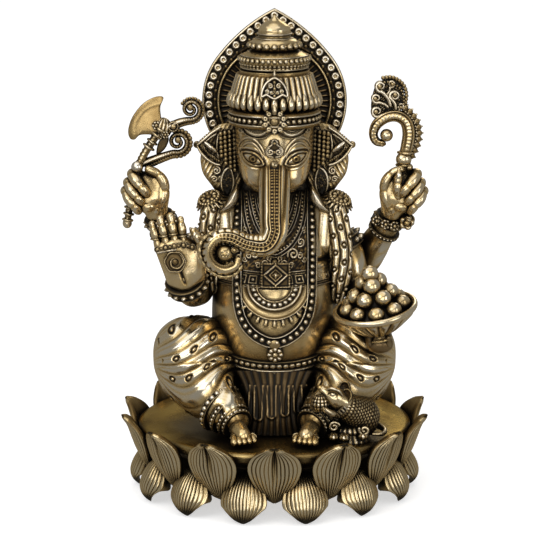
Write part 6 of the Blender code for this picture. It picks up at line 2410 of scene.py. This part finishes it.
@dataclass
class SweetBowl(SubAssembly):
    """The fluted footed bowl and the heap of round sweets in it."""

    foot: tuple[float, float, float] = (54.5, -40.0, 90.5)
    lean: float = 9.0
    ball_radius: float = 4.4

    def build(self) -> None:
        """Makes the bowl and the balls."""
        self.piece("bowl_fluted", self.bowl(), Metal.SMOOTH, ["sweet_bowl"])
        self.piece("bowl_sweets", self.sweets(), Metal.SMOOTH, ["sweets_heap"])

    def placed(self, shell: Shell) -> Shell:
        """A shell leaned towards the viewer and outwards, and moved onto the hand."""
        points = turned_about(turned_about(shell.points, "x", self.lean), "y", -self.lean)
        return Shell(points + np.array(self.foot), shell.quads, shell.triangles, shell.patina)

    def bowl(self) -> list[Shell]:
        """The turned bowl.

        Flutes are roots of a cosine of the turn that fade in and out along the outside; the rim is a
        rolled bead; inside it is plain and dark.
        """
        def flutes(s: Array, turn: Array) -> Array:
            """Tongues round the outside."""
            return 1.7 * (np.abs(np.cos(9 * turn)) ** 0.7 - 0.6) * step(9.5, 13, s) * (1 - step(27, 30, s))

        body = lathe([(0.1, 0), (6, 0), (6.4, 0.9), (5.2, 2.4), (6.4, 4.0), (10, 6.0), (15.5, 10.2),
                      (19.5, 14.0), (21.4, 16.2), (20.9, 18.2), (19.5, 17.6), (14.5, 12), (7.5, 7.4),
                      (0.1, 6.4)], 170, 300, flutes, True, depth=0.9, ground=0.15)
        turn = np.linspace(0, TURN, 200, endpoint=False)
        rim = np.stack([20.7 * np.cos(turn), 20.7 * np.sin(turn), 0 * turn + 17.0], axis=-1)
        return [self.placed(body), self.placed(tube(rim, 1.45, 16, (0, 0, 1), 1.15, loop=True, patina=0.06))]

    def sweets(self) -> list[Shell]:
        """Nineteen balls in four layers over a core darkened as painted shade between them, each a little
        uneven.
        """
        # The core's high patina value is painted shade in the gaps between the balls.
        made = [self.placed(lathe([(0.1, 7.4), (7, 8), (14, 13.2), (15.5, 16.5), (9, 22), (4, 29),
                                   (0.1, 31)], 50, 60, None, True, ground=0.85))]
        for layer, (count, spread, height) in enumerate(
            ((9, 14.2, 18.6), (6, 9.0, 25.0), (3, 4.6, 31.0), (1, 0.0, 36.2))):
            for index in range(count):
                angle = TURN * (index + 0.5 * (layer % 2)) / count - 0.25 * TURN
                centre = (spread * math.cos(angle), spread * math.sin(angle), height)
                size = self.ball_radius
                ball = oval(centre, (size, size, size), 36, 50, 0.04,
                            lambda tilt, turn, k=index + 3 * layer: 0.10 * np.sin(2 * tilt + k)
                            * np.cos(2 * turn + k))
                made.append(self.placed(ball))
        return made


@dataclass
class Mouse(SubAssembly):
    """The mouse at the left foot: body under a scaled cloth, collar, head, and a sweet in its paws."""

    def build(self) -> None:
        """Makes the mouse and its stand."""
        self.piece("mouse_body", [self.body(), *self.stand()], Metal.CHASED, ["mouse"])
        self.piece("mouse_head", self.head(), Metal.SMOOTH)
        self.piece("mouse_sweet", self.sweet(), Metal.CHASED)

    def body(self) -> Shell:
        """Back and haunches under a cloth of overlapping scales."""
        bars = [Lobe((44.5, -41, 50), (38, -46.5, 55), 9.2, 6.8),
                Lobe((46.5, -37, 47.5), (45.0, -40, 46), 7.4, 8.0)]
        points, tilt, turn = blended((42.5, -42.5, 51), (-0.7, -0.5, 0.5), bars, 1.5, 110, 160)
        row = 9.0 * tilt / 1.35
        shift = np.mod(np.floor(row), 2) * 0.5
        cell = np.mod(turn / TURN * 26 + shift, 1.0) - 0.5
        scale = 0.75 * np.sqrt(np.clip(1 - (2 * cell) ** 2, 0, 1)) * (1 - np.mod(row, 1.0) * 0.7)
        moved = points + grid_normals(points) * scale[..., None]
        moved[..., 2] = np.maximum(moved[..., 2], 39.0)
        return grid(moved, recess(scale, 3, 0.4, 0.45))

    def stand(self) -> list[Shell]:
        """The scrolled stand, the collar, the tail and the feet."""
        made = [lathe([(0.1, 36.5), (9.6, 36.5), (10.4, 38.0), (9.4, 39.6), (8.2, 41.0), (9.0, 43.0),
                       (7.0, 45.0), (0.1, 45.5)], 60, 120, lambda s, turn: 0.5 * np.abs(np.cos(10 * turn)),
                      True, ground=0.4)]
        made[0].points[:] = made[0].points + [39, -43, 0]
        hoop = ring([(34.2, -43.4, 58.6), (38.6, -44.6, 62.0), (38.8, -49.8, 60.6), (35.6, -53.6, 56.2),
                     (31.6, -52.2, 52.8), (31.4, -46.4, 54.4)], 170)
        outward = unit(hoop - hoop.mean(axis=0))
        made.append(band(hoop, outward, 1.9, lambda s, w: 0.3 + 0.75 * rims(w, 0.86, 0.14)
                         + 0.6 * np.abs(np.cos(math.pi * s / 1.7)) * (np.abs(w) < 0.7), 14, 2.5, True,
                         ground=0.45))
        made.append(tapered([(49, -37, 44), (54.6, -38.5, 43), (57.4, -43.5, 42), (55.6, -48, 41.4),
                             (51, -48.6, 41.6)], [1.9, 1.6, 1.3, 0.9], 60, 12, (0, 0, 1), 0.1))
        for x, y in ((30.6, -52.6), (35.8, -53.6), (45.8, -50.2)):
            made.append(oval((x, y, 41.2), (2.7, 3.6, 2.0), 20, 30, 0.2,
                             lambda tilt, turn: 0.35 * np.abs(np.cos(4 * turn))))
        for centre, first in (((30.8, 46.4), 20.0), ((46.4, 44.6), 160.0)):
            places = curl(centre, 2.8, 0.6, first, 1.3, 40)
            made.append(tube(np.column_stack([places[:, 0], 0 * places[:, 0] - 52.0, places[:, 1]]), 0.8,
                             10, patina=0.08))
        return made

    def head(self) -> list[Shell]:
        """The head turned up to the figure: long snout, round eye under a brow, ear, jaw and nose."""
        bars = [Lobe((35.6, -48.5, 58.6), (31.0, -50.0, 61.6), 5.4, 4.9),
                Lobe((31.0, -50.2, 62.0), (24.6, -51.4, 66.4), 4.4, 2.0),
                Lobe((31.4, -50.4, 59.6), (26.4, -51.6, 62.4), 3.4, 1.5)]
        points, _, _ = blended((31.5, -50.0, 61.2), (-0.75, 0, 0.6), bars, 0.9, 80, 100)
        made = [grid(points, 0.1)]
        made.append(oval((23.6, -51.8, 67.3), (1.5, 1.5, 1.3), 18, 26, 0.2))
        made.append(oval((30.0, -54.3, 64.2), (1.5, 1.0, 1.35), 18, 26, 0.03))
        eye = ring([(27.4, -53.9, 63.8), (29.8, -54.9, 66.2), (32.6, -54.6, 64.4), (30.2, -54.9, 62.2)], 40)
        made.append(tube(eye, 0.42, 8, (0, 1, 0), loop=True, patina=0.5))
        made.append(tapered([(26.6, -53.4, 66.6), (29.4, -54.6, 67.6), (33.0, -54.6, 66.2),
                             (35.4, -53.4, 63.0)], [0.4, 0.8, 0.8, 0.4], 40, 10, patina=0.03))
        for place in ((37.2, -51.6, 63.0), (36.4, -45.6, 65.4)):
            made.append(disc(place, (-0.35, -0.9, 0.25), 3.0,
                             lambda r, t: 0.9 * bell(r - 0.88, 0.12) - 0.7 * (1 - r), 18, 40, sunk=1.6,
                             squeeze=1.25))
        made.append(tapered([(24.6, -53.2, 64.9), (27.4, -54.0, 62.8), (29.8, -54.0, 61.0)],
                            [0.3, 0.45, 0.3], 20, 8, patina=0.8))
        return made

    def sweet(self) -> list[Shell]:
        """The pebbled sweet with both paws on it."""
        pebble = oval((23.6, -52.2, 59.2), (4.6, 4.6, 4.4), 60, 80, 0.3,
                      lambda tilt, turn: 0.55 * np.abs(np.sin(7 * tilt) * np.cos(7 * turn)))
        made = [pebble]
        for line in ([(33.0, -49.6, 54.4), (29.6, -53.8, 54.2), (26.0, -55.6, 56.6)],
                     [(31.0, -48.0, 53.4), (25.6, -49.0, 53.4), (21.4, -51.0, 55.2)]):
            made.append(tapered(line, [2.4, 1.9, 1.5], 36, 14, (0, 0, 1), 0.12))
            made.append(beads(np.array(line[-1]) + [(-0.9, -0.8, 0.9), (-1.2, 0.2, 0.5), (-0.4, -1.2, 0.2)],
                              0.75, 0.1))
        return made


ASSEMBLIES = (LotusBase, Torso, Legs, Head, Crown, Halo, Arms, Axe, Goad, SweetBowl, Mouse)


# Stage --------------------------------------------------------------------------------------------


@dataclass
class Stage:
    """The pale floor, the soft lights and the camera."""

    floor_half: float = 9.0
    floor_grey: float = 0.93
    floor_glow: float = 0.56
    sky: float = 0.24
    sun_strength: float = 0.9
    sun_spread: float = 70.0
    camera_height: float = 0.40
    camera_distance: float = 1.30
    aim_height: float = 0.13
    sensor: float = 36.0
    lens: float = 169.1
    shift_x: float = -0.0150
    shift_y: float = -0.0347

    def build(self) -> None:
        """Makes all of it."""
        self.floor()
        self.world()
        self.sun()
        self.softbox("key_light", (-0.60, -0.80, 0.75), (0.0, 0.0, 0.13), (0.70, 0.60), 2.6)
        self.softbox("fill_light", (0.80, -0.80, 0.40), (0.0, 0.0, 0.12), (0.40, 0.70), 1.9)
        self.softbox("low_light", (-0.10, -1.50, 0.20), (0.0, 0.0, 0.06), (1.20, 0.42), 3.0)
        self.softbox("front_light", (0.10, -1.50, 0.66), (0.0, 0.0, 0.15), (0.80, 0.40), 2.0)
        self.softbox("back_light", (0.25, 1.1, 0.75), (0.0, 0.0, 0.14), (0.6, 0.5), 1.8)
        self.camera()

    def floor(self) -> None:
        """A plain square of pale, even colour."""
        half = self.floor_half
        mesh = bpy.data.meshes.new("floor")
        corners = [(-half, -half, 0), (half, -half, 0), (half, half, 0), (-half, half, 0)]
        mesh.from_pydata(corners, [], [(0, 1, 2, 3)])
        made = bpy.data.objects.new("floor", mesh)
        bpy.context.scene.collection.objects.link(made)
        grey = self.floor_grey
        mesh.materials.append(Graph("pale_floor").surface(
            {"Base Color": (grey, grey, grey, 1.0), "Roughness": 0.7, "Specular IOR Level": 0.1,
             "Emission Color": (1.0, 1.0, 1.0, 1.0), "Emission Strength": self.floor_glow}))
        made.visible_glossy = False

    def world(self) -> None:
        """An even grey sky."""
        world = bpy.data.worlds.new("studio")
        world.use_nodes = True
        shade = world.node_tree.nodes["Background"]
        shade.inputs["Color"].default_value = (1.0, 1.0, 1.0, 1.0)
        shade.inputs["Strength"].default_value = self.sky
        bpy.context.scene.world = world

    def sun(self) -> None:
        """A wide, soft light from above that keeps the whole floor evenly white."""
        light = bpy.data.lights.new("overhead", "SUN")
        light.energy = self.sun_strength
        light.angle = math.radians(self.sun_spread)
        made = bpy.data.objects.new("overhead", light)
        made.rotation_euler = (math.radians(14.0), math.radians(-8.0), 0.0)
        bpy.context.scene.collection.objects.link(made)

    def softbox(self, name: str, place: Sequence[float], aim: Sequence[float], size: Sequence[float],
                power: float) -> None:
        """A rectangular light that looks at a point.

        Args:
            name: its name.
            place: where it hangs, in metres.
            aim: the point that it looks at.
            size: its width and height.
            power: its power in watts.
        """
        light = bpy.data.lights.new(name, "AREA")
        light.shape = "RECTANGLE"
        light.size, light.size_y = size
        light.energy = power
        made = bpy.data.objects.new(name, light)
        made.location = place
        made.rotation_euler = (Vector(aim) - Vector(place)).to_track_quat("-Z", "Y").to_euler()
        bpy.context.scene.collection.objects.link(made)

    def camera(self) -> None:
        """The camera in front of the figure, a little above it, looking slightly down."""
        data = bpy.data.cameras.new("camera")
        data.sensor_width = self.sensor
        data.lens = self.lens
        data.shift_x, data.shift_y = self.shift_x, self.shift_y
        data.clip_start, data.clip_end = 0.05, 60.0
        made = bpy.data.objects.new("camera", data)
        made.location = (0.0, -self.camera_distance, self.camera_height)
        dip = math.atan((self.camera_height - self.aim_height) / self.camera_distance)
        made.rotation_euler = (math.pi / 2 - dip, 0.0, 0.0)
        bpy.context.scene.collection.objects.link(made)
        bpy.context.scene.camera = made
        bpy.context.scene.view_settings.view_transform = "Standard"


def main() -> None:
    """Builds the statue piece by piece, then its stage."""
    logging.basicConfig(level=logging.INFO, format="%(name)s %(message)s")
    Stage().build()
    for assembly in ASSEMBLIES:
        assembly().build()
        LOG.info("%s built", assembly.__name__)


if __name__ == "__main__":
    main()
